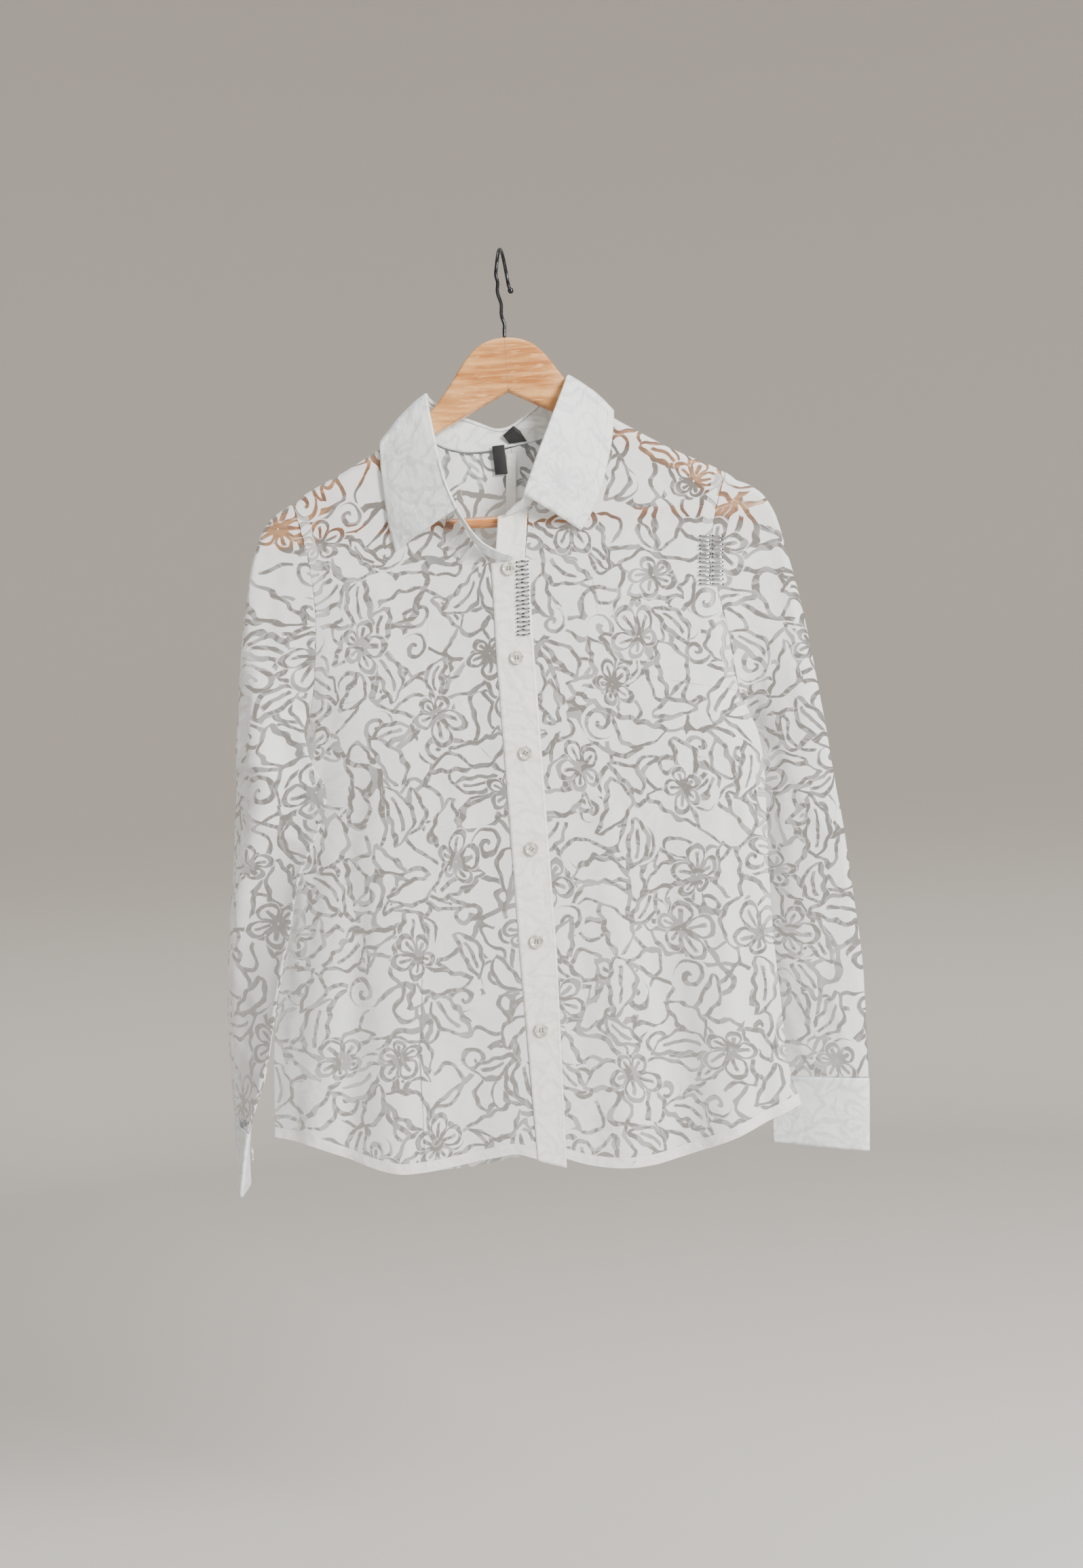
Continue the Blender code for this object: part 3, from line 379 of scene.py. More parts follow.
SLEEVE_LEFT = [
    Section(193, 0, -208.0, 187.8, 1, -391.8, 9.5, 8, 0),
    Section(204, 0, -213.6, 191.5, 2.8, -395.5, 9.5, 8, 0),
    Section(214.5, 0, -222.5, 194.5, 4.6, -401, 9.7, 8, 0),
    Section(222.5, 0, -236.5, 196.5, 6.4, -408, 9.8, 9, 0),
    Section(228.5, 0, -257, 197.5, 8, -416, 10, 12, 0),
    Section(236, -1, -290, 197.3, 9.8, -426, 10, 18, 0),
    Section(243.5, -2, -328, 195.5, 11.5, -438, 10, 22, 0),
    Section(250, -3, -375, 192, 13.5, -453, 10, 24, 0),
    Section(255.5, -4, -420, 188, 16, -472, 9.5, 25, 0),
    Section(260.5, -4, -468, 184, 18, -497, 9, 25, 1.5),
    Section(265.5, -4, -516, 181, 20, -531, 8.5, 25, 2.5),
    Section(270.5, -4, -566, 180.5, 20, -572, 8, 25, 2.5),
    Section(275, -5, -616, 182, 19, -617, 7.5, 24, 2),
    Section(275.5, -6, -660, 186, 17, -660, 7, 24, 2),
    Section(275, -7, -700, 190, 15, -696, 6.5, 22, 1),
    Section(274.3, -8, -727, 193.5, 13, -724, 6, 20, 0),
]
CUFF_RIGHT = [
    Section(-274, 39.5, -737.9, -254.7, -40, -738.9, 6, 20, 0.5),
    Section(-274, 38.5, -758, -258, -40, -757, 5.5, 20, 0),
    Section(-273, 37.5, -776, -261, -40.5, -775, 5.2, 20, 0),
    Section(-272, 37, -791, -263.5, -41, -791.5, 5, 20, 0),
]
CUFF_LEFT = [
    Section(274.3, -8, -727.9, 193.5, 13, -724.9, 6, 20, 0),
    Section(273.3, -8.5, -748, 193, 12.5, -744, 5.5, 20, 0),
    Section(272, -9, -769, 192.5, 12, -763, 5.2, 20, 0),
    Section(270.7, -9.5, -790, 191.8, 12, -782, 5, 20, 0),
]
RIDGE_AT = 0.45
RIDGE_WIDTH = 0.2
ARMHOLE_BLENDS = 5

INNER_ROUND = 50.0
INNER_HALF = 1.2

# Collar, station by station from the front end on the right side of the wearer, over the
# shoulder and the back neck to the other front end: neck seam, fold and outer edge. The face
# is -1 where it lies on the front, 0 on the shoulder seam and 1 on the back, which gives the
# depth of the neck seam and of the edge.
STATIONS = [
    Station(-1, -3, -267.0, -5, -23, -263, 0, 0),
    Station(-1, -14, -268.0, -19, -31, -258, 0, 0),
    Station(-1, -30, -258.5, -33, -35, -248, 0, 0),
    Station(-1, -48.5, -228, -48.3, -36, -223.5, -103.9, -254),
    Station(-1, -62, -199, -57.7, -34, -196, -109.2, -226),
    Station(-1, -70.5, -177, -64.4, -28, -158, -111.8, -186),
    Station(-1, -79, -156, -68, -17, -132, -112, -170),
    Station(-1, -83.2, -147.5, -68.9, -9, -123, -112, -161.5),
    Station(0, -84, -144.3, -69, -1, -119.7, -111.5, 0),
    Station(1, -82.5, -147.5, -67.5, 7.6, -121.5, -109, -160),
    Station(1, -76, -153, -61.5, 11.5, -126, -102, -168),
    Station(1, -62, -163.5, -49, 14, -134, -77, -187),
    Station(1, -36, -170.5, -31, 15.5, -141, -41, -199),
    Station(1, 0, -167.5, -6.5, 16.5, -149, -6, -203),
    Station(1, 32, -161, 18, 15.5, -135, 35, -195),
    Station(1, 48, -153, 36, 14, -121, 62, -181),
    Station(1, 59, -140.5, 46, 12, -116, 80, -160),
    Station(1, 65, -132.6, 50.5, 7.8, -113.2, 87.5, -146.5),
    Station(0, 66, -130, 51.7, 0, -111.2, 89, 0),
    Station(-1, 65, -132.6, 50.7, -8.2, -113.8, 89.3, -146.5),
    Station(-1, 59, -142.5, 47.5, -13, -122, 88.5, -158),
    Station(-1, 48, -165, 38, -24, -144, 82.5, -187),
    Station(-1, 29, -200, 21.5, -31, -182, 69, -224),
    Station(-1, 15, -219, 8, -31, -214.8, 55.4, -245.5),
    Station(-1, 4, -226, 0.5, -25, -220, 0, 0),
    Station(-1, -8.5, -229.5, -6.5, -18, -225.5, 0, 0),
]
FALL_FROM = 3
FALL_TO = 23
STAND_SHORT = 3.4
STAND_ROOM = 1.4
EDGE_OFF = 2.8
EDGE_OVER_CREST = 5.0
FALL_ROLL = [Roll(2.8, 0), Roll(0.9, 0.15), Roll(0, 1.3), Roll(1.3, 2.6)]
FALL_STEPS = (0.2, 0.45, 0.72, 1.0)
FALL_SWELL = 2.2

BUTTONS = [  # x, z, turn in degrees
    (-8, -274.4, 2),
    (-5.5, -351, 0),
    (-2.9, -433, 35),
    (-2.6, -514.4, 40),
    (-3, -593, 4),
    (-3.3, -668, 0),
]

LABEL_LONG = [
    Point(-16.5, -165.5),
    Point(-5.7, -164.8),
    Point(-4.3, -190),
    Point(-15.1, -190.6),
]
LABEL_FOLDED = [
    Point(-6.5, -156.5),
    Point(3, -148.5),
    Point(8.5, -153),
    Point(13.8, -162.5),
    Point(-1.5, -163.8),
]
LABEL_LONG_Y = 6.6
LABEL_FOLDED_Y = 8.8

# Finer grids of the cloth
PANEL_ROWS, PANEL_COLS = 190, 110
SLEEVE_ROWS, SLEEVE_COLS = 150, 157
CUFF_ROWS = 25

Crease = namedtuple("Crease", "x0 z0 x1 z1 width height")
CREASES_FRONT_RIGHT = [
    Crease(-168, -330, -205, -560, 8, 1.6),
    Crease(-182, -400, -224, -730, 7, 1.8),
    Crease(-150, -420, -172, -765, 11, -1.8),
    Crease(-118, -300, -98, -480, 13, 0.9),
    Crease(-58, -420, -76, -775, 12, 1.2),
    Crease(-96, -560, -112, -785, 9, -1.4),
    Crease(-40, -300, -62, -430, 11, 0.7),
    Crease(-165, -262, -110, -300, 9, 0.8),
]
CREASES_FRONT_LEFT = [
    Crease(160, -330, 186, -620, 8, 1.6),
    Crease(178, -420, 196, -735, 6, 1.8),
    Crease(138, -400, 150, -770, 10, -1.8),
    Crease(106, -300, 96, -500, 13, 0.9),
    Crease(58, -430, 66, -782, 12, 1.3),
    Crease(30, -560, 36, -780, 9, -1.1),
    Crease(84, -600, 92, -785, 8, 1.2),
    Crease(150, -262, 110, -310, 9, 0.8),
]
CREASES_BACK = [
    Crease(-150, -260, -120, -420, 12, 1.2),
    Crease(-60, -300, -80, -770, 14, 1.6),
    Crease(-120, -420, -160, -770, 12, -1.6),
    Crease(60, -300, 70, -770, 14, 1.6),
    Crease(140, -280, 120, -430, 12, 1.2),
    Crease(110, -420, 150, -770, 12, -1.6),
]
CREASES_SLEEVE_RIGHT = [
    Crease(-252, -425, -184, -452, 6, 1.9),
    Crease(-256, -470, -190, -500, 6, 1.6),
    Crease(-226, -300, -246, -425, 8, 1.3),
    Crease(-208, -262, -234, -385, 8, -1.1),
    Crease(-262, -540, -216, -562, 5, 1.3),
    Crease(-268, -604, -236, -640, 5, 1.1),
    Crease(-205, -360, -228, -440, 7, 1.2),
    Crease(-266, -660, -244, -700, 5, 0.9),
]
CREASES_SLEEVE_LEFT = [
    Crease(204, -300, 240, -425, 9, 1.3),
    Crease(215, -430, 254, -525, 8, 1.3),
    Crease(192, -520, 212, -655, 8, 1.2),
    Crease(252, -560, 236, -690, 7, -1.1),
    Crease(200, -400, 230, -505, 7, -1.0),
    Crease(262, -470, 268, -640, 5, 1.0),
    Crease(205, -640, 225, -715, 6, 0.9),
    Crease(245, -650, 262, -722, 5, 0.9),
]

# The drawn pattern, in metres on the cloth
FLOWERS = [  # cell, size, petals, seed
    (0.088, 0.019, 5, 1.0),
]
LEAVES = [  # cell, length, breadth, seed
    (0.06, 0.0255, 0.0105, 3.0),
    (0.048, 0.020, 0.0078, 7.0),
]
SCROLLS = [  # cell, radius, pitch, seed
    (0.052, 0.0135, 0.0105, 12.0),
]
LINE_THIN, LINE_WIDE, LINE_EDGE = 0.0031, 0.0047, 0.00032
CELL_RANDOM = 0.85
FLOWER_LONG, FLOWER_UNEVEN = 1.15, 0.2
WARP_WIDE, WARP_WIDE_SIZE = 0.016, 0.05
WARP_FINE, WARP_FINE_SIZE = 0.0036, 0.012
STEM_SCALE, STEM_CLOSE, SLOPE_STEP = 19.0, 33.0, 0.001
CRUMPLE_SCALE, CRUMPLE_DEPTH = 65.0, 0.0028
WEAVE_DEPTH = 0.0004
WIDTH_SCALE = 95.0

# Noise cells in a metre along x, y and z, and depths in metres
SLUBS, THREADS = (90, 900, 1), (1500, 2600, 1)
GRAIN, FLECKS, CLOUDS = (14, 90, 160), (60, 300, 420), 22.0
GRAIN_DEPTH, FINE_DEPTH, PAINT_DEPTH = 0.0003, 0.0002, 0.001
SHADE_WHITE = (0.9, 0.9, 0.89, 1.0)

# Each sleeve's inner edge laps the body's side: z, move inward, move to the back
LAP_SHARE = 0.4
LAPS = {
    "right": [
        (-386, 0, 0), (-398, 5, -5), (-415, 5, -5), (-440, 0, 0),
        (-520, 0, 0), (-570, 6, 0), (-680, 7, 0), (-735, 0, 0),
    ],
    "left": [(-386, 0, 0), (-396, 6, 3), (-412, 7, 4), (-430, 3, 2), (-450, 0, 0)],
}

# Sewing and trim
CREASE_LIFT = 1.45
HEM_WIDTH = 9.0
ALLOWANCE = 9.0
ALLOWANCE_IN = 0.9
STITCH_PITCH, STITCH_LENGTH, STITCH_RADIUS = 2.6, 1.9, 0.16
PLACKET_STITCH_OFF, STITCH_OFF = 0.75, 0.85
BUGLE_RADIUS, SEED_RADIUS, BEADS_OFF = 0.85, 0.8, 1.0
BEADS_PLACKET = ((-1.2, -269.5), (8.6, -268.8), (-3.6, -332), (6.2, -331.5))
BEADS_SHOULDER = ((157, -256), (176, -257), (154.5, -297), (174, -298))

# Stage, lights and camera
BOWL_RADIUS, FLOOR_Z = 3.4, -1.25
BOWL_FLAT, BOWL_RIM, BOWL_SIDES = 0.72, 4.2, 96
FLOOR_TINT, WALL_TINT = "DCD9D4", "B0AAA2"
SKY = 0.62
LIGHTS = (  # name, place, aim, size, power, tint
    ("key", (1.7, -1.9, 0.55), (0, 0, -0.45), (0.9, 0.9), 150, (1.0, 0.985, 0.96)),
    ("fill", (-1.7, -1.9, 0.0), (0, 0, -0.45), (1.6, 1.8), 7, (0.86, 0.93, 1.0)),
    ("top", (0.0, -0.5, 2.2), (0, 0, -0.5), (1.6, 1.6), 36, (1.0, 0.99, 0.97)),
)
LENS, PHOTO_TURN = 42.6, 3.4
CAMERA_AT = (0.009, -1.6, -0.46)


def path_at(rows, places, even=False):
    """Points on a smooth curve through rows, at places from 0 to 1 of its length or,
    when even, of its count of rows."""
    rows = np.array(rows, float)
    if even:
        knots = np.linspace(0, 1, len(rows))
    else:
        steps = np.linalg.norm(np.diff(rows, axis=0), axis=1)
        knots = np.concatenate([[0], np.cumsum(steps)]) / steps.sum()
    slopes = np.gradient(rows, knots, axis=0)
    places = np.clip(np.atleast_1d(places), 0, 1)
    i = np.clip(np.searchsorted(knots, places, side="right") - 1, 0, len(knots) - 2)
    span = knots[i + 1] - knots[i]
    t = ((places - knots[i]) / span)[:, None]
    span = span[:, None]
    return (
        rows[i] * (2 * t**3 - 3 * t**2 + 1)
        + rows[i + 1] * (3 * t**2 - 2 * t**3)
        + slopes[i] * span * (t**3 - 2 * t**2 + t)
        + slopes[i + 1] * span * (t**3 - t**2)
    )


def column(rows, at, name):
    """One column of a table whose z falls from row to row, read at a z."""
    return np.interp(-at, [-row.z for row in rows], [getattr(row, name) for row in rows])


def smooth_step(t):
    t = np.clip(t, 0, 1)
    return t * t * (3 - 2 * t)


def quarter_round(t):
    """0 at 0, 1 from 1 on, upright at 0, as the side of a rounded edge."""
    return np.sqrt(1 - (1 - np.clip(t, 0, 1)) ** 2)


def shoulder_z(x):
    return np.interp(abs(x), [p.x for p in SHOULDER_LINE], [p.z for p in SHOULDER_LINE])


def edge_x(x, z):
    """How far out the panels reach at this height, on the side of x."""
    rows = ARMHOLE_RIGHT + SIDE_RIGHT[1:] if x < 0 else ARMHOLE_LEFT + SIDE_LEFT[1:]
    return abs(column(rows, z, "x"))


def folds(table, x, z):
    """The height of all the folds here: each grows, drifts and widens on its way down."""
    total = 0.0
    for fold in table:
        down = np.clip((fold.z_top - z) / (fold.z_top - HEM_Z), 0, 1.05)
        middle = fold.x_top + (fold.x_hem - fold.x_top) * down
        width = fold.width * (0.75 + 0.25 * down)
        total += fold.height * smooth_step(down) * math.exp(-(((x - middle) / width) ** 2))
    return total


def body_y(x, z, back):
    """Depth of the body's cloth at this place: negative in front, positive at the back."""
    side = "right" if x < 0 else "left"
    inside = max(edge_x(x, z) - abs(x), 0.0)
    full = column(DEPTHS, z, "back" if back else "front")
    edge = column(ARMHOLE_DEPTHS, z, "back" if back else "front")
    under_arm = smooth_step((UNDER_ARM_Z - z) / UNDER_ARM_BLEND)
    reach = ARMHOLE_ROUND + (SIDE_ROUND - ARMHOLE_ROUND) * under_arm
    rise = (1 - (1 - min(inside / reach, 1)) ** 2) ** RISE_POWER
    bumps = folds(FOLDS_BACK if back else FOLDS_FRONT, x, z)
    bumps *= smooth_step(inside / FOLD_EDGE_ROOM)
    half = edge + (full - edge) * rise + bumps
    meet = column(SIDE_MEETS, z, side) * (1 - smooth_step(inside / SIDE_SHIFT_WIDTH))
    wrap = quarter_round((shoulder_z(x) - z) / SHOULDER_WRAP)
    half = SEAM_HALF_GAP + (half - SEAM_HALF_GAP) * wrap
    return meet + half if back else meet - half


def placket_edges(z):
    """The over-placket's two edges at this height."""
    return column(PLACKET_OUTER, z, "x"), column(PLACKET_INNER, z, "x")


def under_seam_x(z):
    """Where the left front ends and its under band begins, at this height."""
    down = smooth_step((NECK_FRONT_LEFT[0].z - z) / BAND_BLEND)
    return NECK_FRONT_LEFT[0].x * (1 - down) + (placket_edges(z)[1] - UNDER_LAP) * down


def front_point(x, z, out=0.0):
    """A point on the front's cloth, moved out by so much towards the viewer."""
    return (x, body_y(x, z, False) - out, z)


def panel_shift(x, z, wearer_right):
    """The panels step out or in to meet the over-placket and the under band."""
    outer, inner = placket_edges(z)
    if wearer_right:
        return PANEL_OUT * (1 - smooth_step((outer - x) / PLACKET_BLEND))
    start = inner - UNDER_LAP
    return -UNDER_IN * (1 - smooth_step((x - start) / PLACKET_BLEND))


def patch(top, bottom, inner, outer, across, down):
    """Points x, z of a panel between its four edges (a Coons patch), where inner and outer
    run down and top and bottom run across."""
    corners = top(0.0), top(1.0), bottom(0.0), bottom(1.0)
    grid = []
    for v in down:
        row = []
        for u in across:
            edges = (1 - v) * top(u) + v * bottom(u) + (1 - u) * inner(v) + u * outer(v)
            blend = (
                (1 - u) * (1 - v) * corners[0]
                + u * (1 - v) * corners[1]
                + (1 - u) * v * corners[2]
                + u * v * corners[3]
            )
            row.append(edges - blend)
        grid.append(row)
    return np.array(grid)


def two_part(first, second, share):
    """One edge made of two curves that meet in a corner at this share of it."""

    def at(t):
        if t <= share:
            return path_at(first, t / share)[0]
        return path_at(second, (t - share) / (1 - share))[0]

    return at


def shoulder_edge(start, end, count=9):
    """The shoulder seam from the neck to the armhole, on the line of the shoulder."""
    return [Point(x, shoulder_z(x)) for x in np.linspace(start, end, count)]


NECK_SHARE = 0.42
ARMHOLE_SHARE = 0.36
PANEL_DOWN = np.concatenate(
    [
        [0, 0.0022, 0.0055, 0.011, 0.02, 0.045, 0.085, 0.13],
        [0.188, 0.246, 0.304, 0.344, 0.355, ARMHOLE_SHARE],
        np.linspace(ARMHOLE_SHARE, 1, 11)[1:],
    ]
)
NECK_CORNER = [0.398, 0.41, NECK_SHARE]
FRONT_ACROSS = np.concatenate(
    [np.linspace(0, 0.37, 6), NECK_CORNER, np.linspace(NECK_SHARE, 1, 9)[1:]]
)
BACK_ACROSS = np.concatenate(
    [np.linspace(0, 0.35, 5), NECK_CORNER, np.linspace(NECK_SHARE, 1, 7)[1:]]
)
# Places down the armhole, shared by the panels and the rings of the sleeve
RING_PLACES = PANEL_DOWN[PANEL_DOWN <= ARMHOLE_SHARE] / ARMHOLE_SHARE
RING = [(t, -1) for t in RING_PLACES[:-1]] + [(t, 1) for t in RING_PLACES[:0:-1]]


def panel_grid(neck, armhole, side, hem, inner, across, depth):
    """Points x, y, z of a front or back panel."""
    top = two_part(neck, shoulder_edge(neck[-1].x, armhole[0].x), NECK_SHARE)
    outer = two_part(armhole, side, ARMHOLE_SHARE)
    flat = patch(top, lambda u: path_at(hem, u)[0], inner, outer, across, PANEL_DOWN)
    return np.array([[(x, depth(x, z), z) for x, z in row] for row in flat])


def front_right():
    def inner(v):
        z = NECK_FRONT_RIGHT[0].z + v * (HEM_FRONT_RIGHT[0].z - NECK_FRONT_RIGHT[0].z)
        return np.array([placket_edges(z)[0] - GAP, z])

    def depth(x, z):
        return body_y(x, z, False) - panel_shift(x, z, True)

    return panel_grid(
        NECK_FRONT_RIGHT, ARMHOLE_RIGHT, SIDE_RIGHT, HEM_FRONT_RIGHT, inner, FRONT_ACROSS, depth
    )


def front_left():
    def inner(v):
        z = NECK_FRONT_LEFT[0].z + v * (HEM_FRONT_LEFT[0].z - NECK_FRONT_LEFT[0].z)
        return np.array([under_seam_x(z), z])

    def depth(x, z):
        return body_y(x, z, False) - panel_shift(x, z, False)

    return panel_grid(
        NECK_FRONT_LEFT, ARMHOLE_LEFT, SIDE_LEFT, HEM_FRONT_LEFT, inner, FRONT_ACROSS, depth
    )


def back_half(wearer_right):
    side = -1 if wearer_right else 1
    neck = NECK_BACK_RIGHT if wearer_right else NECK_BACK_LEFT
    armhole = ARMHOLE_RIGHT if wearer_right else ARMHOLE_LEFT
    seam = SIDE_RIGHT if wearer_right else SIDE_LEFT
    hem = HEM_BACK_RIGHT if wearer_right else HEM_BACK_LEFT

    def inner(v):
        return path_at(BACK_CENTRE, v)[0]

    grid = panel_grid(
        neck, armhole, seam, hem, inner, BACK_ACROSS, lambda x, z: body_y(x, z, True)
    )
    grid[:, 0, 0] += side * GAP / 2
    return grid


def back_seam_grid():
    """The allowance of the centre-back seam, pressed open inside."""
    rows = []
    for x, z in path_at(BACK_CENTRE, np.linspace(0.008, 0.99, 22)):
        across = np.linspace(-SEAM_STRIP_WIDTH / 2, SEAM_STRIP_WIDTH / 2, 3)
        rows.append([(x + a, body_y(x + a, z, True) - SINGLE - 2 * GAP, z) for a in across])
    return np.array(rows)


def placket_grid(over):
    """The over-placket, or the under band behind it, made from the front's points."""
    rows = []
    for t in np.linspace(0, 1, 25):
        if over:
            z_mid = PLACKET_OUTER[0].z + t * (PLACKET_HEM_Z[0] - PLACKET_OUTER[0].z)
            low, high = placket_edges(z_mid)
            tops, ends, out, spans = PLACKET_TOP_Z, PLACKET_HEM_Z, PLACKET_OUT, 5
        else:
            z_mid = UNDER_TOP_Z[0] + t * (UNDER_HEM_Z[0] - UNDER_TOP_Z[0])
            high = under_seam_x(z_mid) - GAP
            low = high - UNDER_WIDTH
            tops, ends, out, spans = UNDER_TOP_Z, UNDER_HEM_Z, -UNDER_IN, 4
        row = []
        for s in np.linspace(0, 1, spans):
            x = low + s * (high - low)
            top = tops[0] + s * (tops[1] - tops[0])
            end = ends[0] + s * (ends[1] - ends[0])
            row.append(front_point(x, top + t * (end - top), out))
        rows.append(row)
    return np.array(rows)


def armhole_ring(armhole, wearer_right):
    """The sleeve's first ring: the armhole, front and back, just off the panels."""
    side = -1 if wearer_right else 1
    ring = []
    for t, face in RING:
        x, z = path_at(armhole, t)[0]
        y = body_y(x, z, face > 0) if 0 < t < 1 else 0.0
        ring.append((x + side * 2 * GAP, y, z))
    return np.array(ring)


def ring_depth(section, t, length):
    """Half the thickness of a sleeve or cuff at this share of the way from its outer fold."""
    edge_in = smooth_step((1 - t) * length / INNER_ROUND)
    depth = section.half * quarter_round(t * length / section.round)
    return min(depth, INNER_HALF + (section.half - INNER_HALF) * edge_in)


def sleeve_rings(first, table, wearer_right):
    """Rings about the arm from the table's sections. The first ones blend out of the
    armhole, and the crease at the elbow lifts the front of the others."""
    side = -1 if wearer_right else 1
    outer = np.array([(s.outer_x, s.outer_y, s.outer_z) for s in table], float)
    inner = np.array([(s.inner_x, s.inner_y, s.inner_z) for s in table], float)
    along = np.gradient((outer + inner) / 2, axis=0)
    rings = [] if first is None else [first]
    for n, section in enumerate(table):
        chord = outer[n] - inner[n]
        length = np.linalg.norm(chord)
        to_back = np.cross(chord, along[n]) * side
        to_back /= np.linalg.norm(to_back)
        blend = 1.0 if first is None else smooth_step((n + 1) / (ARMHOLE_BLENDS + 1))
        ring = []
        for k, (t, face) in enumerate(RING):
            depth = ring_depth(section, t, length)
            if face < 0:
                depth += section.ridge * math.exp(-(((t - RIDGE_AT) / RIDGE_WIDTH) ** 2))
            if t in (0, 1):
                depth = 0.0
            own = to_back * face * depth
            if blend < 1:
                straight = first[0] + (first[len(RING_PLACES) - 1] - first[0]) * t
                own = own * blend + (first[k] - straight) * (1 - blend)
            ring.append(outer[n] - chord * t + own)
        rings.append(np.array(ring))
    return np.array(rings)


def station_table():
    """Neck seam, fold and edge of each station, with the depths that the body gives."""
    rows = []
    for s in STATIONS:
        back = s.face > 0
        neck_y = body_y(s.neck_x, s.neck_z, back) if s.face else 0.0
        if s.face < 0 and s.neck_x < 0:
            shift = panel_shift(s.neck_x, s.neck_z, True)
            neck_y -= min(shift, PANEL_OUT)
        neck = (s.neck_x, neck_y, s.neck_z)
        fold = (s.fold_x, s.fold_y, s.fold_z)
        low_z = min(s.edge_z, shoulder_z(s.edge_x) - SHOULDER_WRAP)
        edge_y = body_y(s.edge_x, low_z, back) + s.face * EDGE_OFF
        edge = (s.edge_x, edge_y, s.edge_z)
        if not s.face:
            edge = (s.edge_x, 0.0, shoulder_z(s.edge_x) + EDGE_OVER_CREST)
        rows.append(neck + fold + edge)
    return np.array(rows, float)


def station_lines(count):
    """Neck, fold and edge points at evenly spread places along the collar: of the whole
    stand, and of the stretch that carries the fall."""
    table = station_table()
    places = np.linspace(0, 1, count)
    base = path_at(table[:, :6], places, even=True)
    spread = path_at(table[FALL_FROM : FALL_TO + 1], places, even=True)
    return base, spread


def unit(vectors):
    return vectors / np.maximum(np.linalg.norm(vectors, axis=-1, keepdims=True), 1e-9)


def stand_grid(count=56, levels=4):
    base, _ = station_lines(count)
    neck, fold = base[:, :3], base[:, 3:]
    up = unit(fold - neck)
    low = neck + up * STAND_ROOM
    high = fold - up * STAND_SHORT
    steps = np.linspace(0, 1, levels)[:, None, None]
    return low[None] * (1 - steps) + high[None] * steps


def fall_grid(count=44):
    """The fall: it leaves the stand's top, rolls over and runs down to its outer edge."""
    _, spread = station_lines(count)
    neck, fold, edge = spread[:, :3], spread[:, 3:6], spread[:, 6:]
    up = unit(fold - neck)
    to_edge = edge - fold
    out = unit(np.cross(up, np.gradient(fold, axis=0)))
    out *= np.sign(np.sum(out * to_edge, axis=1, keepdims=True))
    levels = [fold - up * row.down + out * row.out for row in FALL_ROLL]
    start = levels[-1]
    for s in FALL_STEPS:
        swell = out * FALL_SWELL * math.sin(math.pi * s)
        levels.append(start + (edge - start) * s + swell)
    return np.array(levels)


def turned(name, profile, sides, finish, place, turn, facing):
    """A solid turned about its own axis from (radius, height) rows that start and end on
    the axis, its face towards facing."""
    points, faces, rings = [], [], []
    for radius, height in profile:
        if radius == 0:
            rings.append([len(points)])
            points.append((0.0, height, 0.0))
            continue
        ring = []
        for k in range(sides):
            angle = 2 * math.pi * k / sides + math.radians(turn)
            ring.append(len(points))
            points.append((radius * math.cos(angle), height, radius * math.sin(angle)))
        rings.append(ring)
    for low, high in zip(rings, rings[1:]):
        for k in range(sides):
            quad = [low[k % len(low)], low[(k + 1) % len(low)]]
            quad += [high[(k + 1) % len(high)], high[k % len(high)]]
            faces.append(tuple(dict.fromkeys(quad)))
    y_axis = unit(np.array(facing))
    x_axis = unit(np.cross(y_axis, (0.0, 0.0, 1.0)))
    z_axis = np.cross(x_axis, y_axis)
    base = np.array(place)
    world = [base + x_axis * p[0] + y_axis * p[1] + z_axis * p[2] for p in points]
    return bits_mesh(name, [(world, [face[::-1] for face in faces])], finish)


def fine(grid, rows, cols, ring=False):
    """A finer grid on the same surface, by smooth curves through its points."""
    if ring:
        grid = np.concatenate([grid[:, -3:], grid, grid[:, :3]], axis=1)
    count, width = grid.shape[:2]
    down = path_at(grid.reshape(count, -1), np.linspace(0, 1, rows), even=True)
    down = down.reshape(rows, width, 3).transpose(1, 0, 2)
    low, high = (3 / (width - 1), (width - 3) / (width - 1)) if ring else (0.0, 1.0)
    across = path_at(down.reshape(width, -1), np.linspace(low, high, cols), even=True)
    return across.reshape(cols, rows, 3).transpose(1, 0, 2)


def grid_normals(grid):
    normal = np.cross(np.gradient(grid, axis=1), np.gradient(grid, axis=0))
    return unit(normal)


def soft_noise(x, z, size, seed):
    """Smooth noise from about -1 to 1 with features of this size in millimetres."""
    return noise.noise(Vector((x / size + seed * 7.3, z / size - seed * 3.1, seed * 1.7)))


def crease(x, z, row):
    """The height at a place of one soft crease: a line from one end to the other that
    wavers, with a rounded ridge (height over 0) or trough."""
    ax, az, bx, bz = row.x0, row.z0, row.x1, row.z1
    length = math.hypot(bx - ax, bz - az)
    ux, uz = (bx - ax) / length, (bz - az) / length
    along = ((x - ax) * ux + (z - az) * uz) / length
    off = (x - ax) * uz - (z - az) * ux
    off += row.width * 0.9 * soft_noise(along * length, row.x0, 45, 3)
    ends = np.clip(min(along, 1 - along) / 0.3 + 0.35, 0, 1)
    uneven = 0.75 + 0.5 * soft_noise(along * length, row.z0, 30, 5)
    return row.height * smooth_step(ends) * uneven * math.exp(-((off / row.width) ** 2))


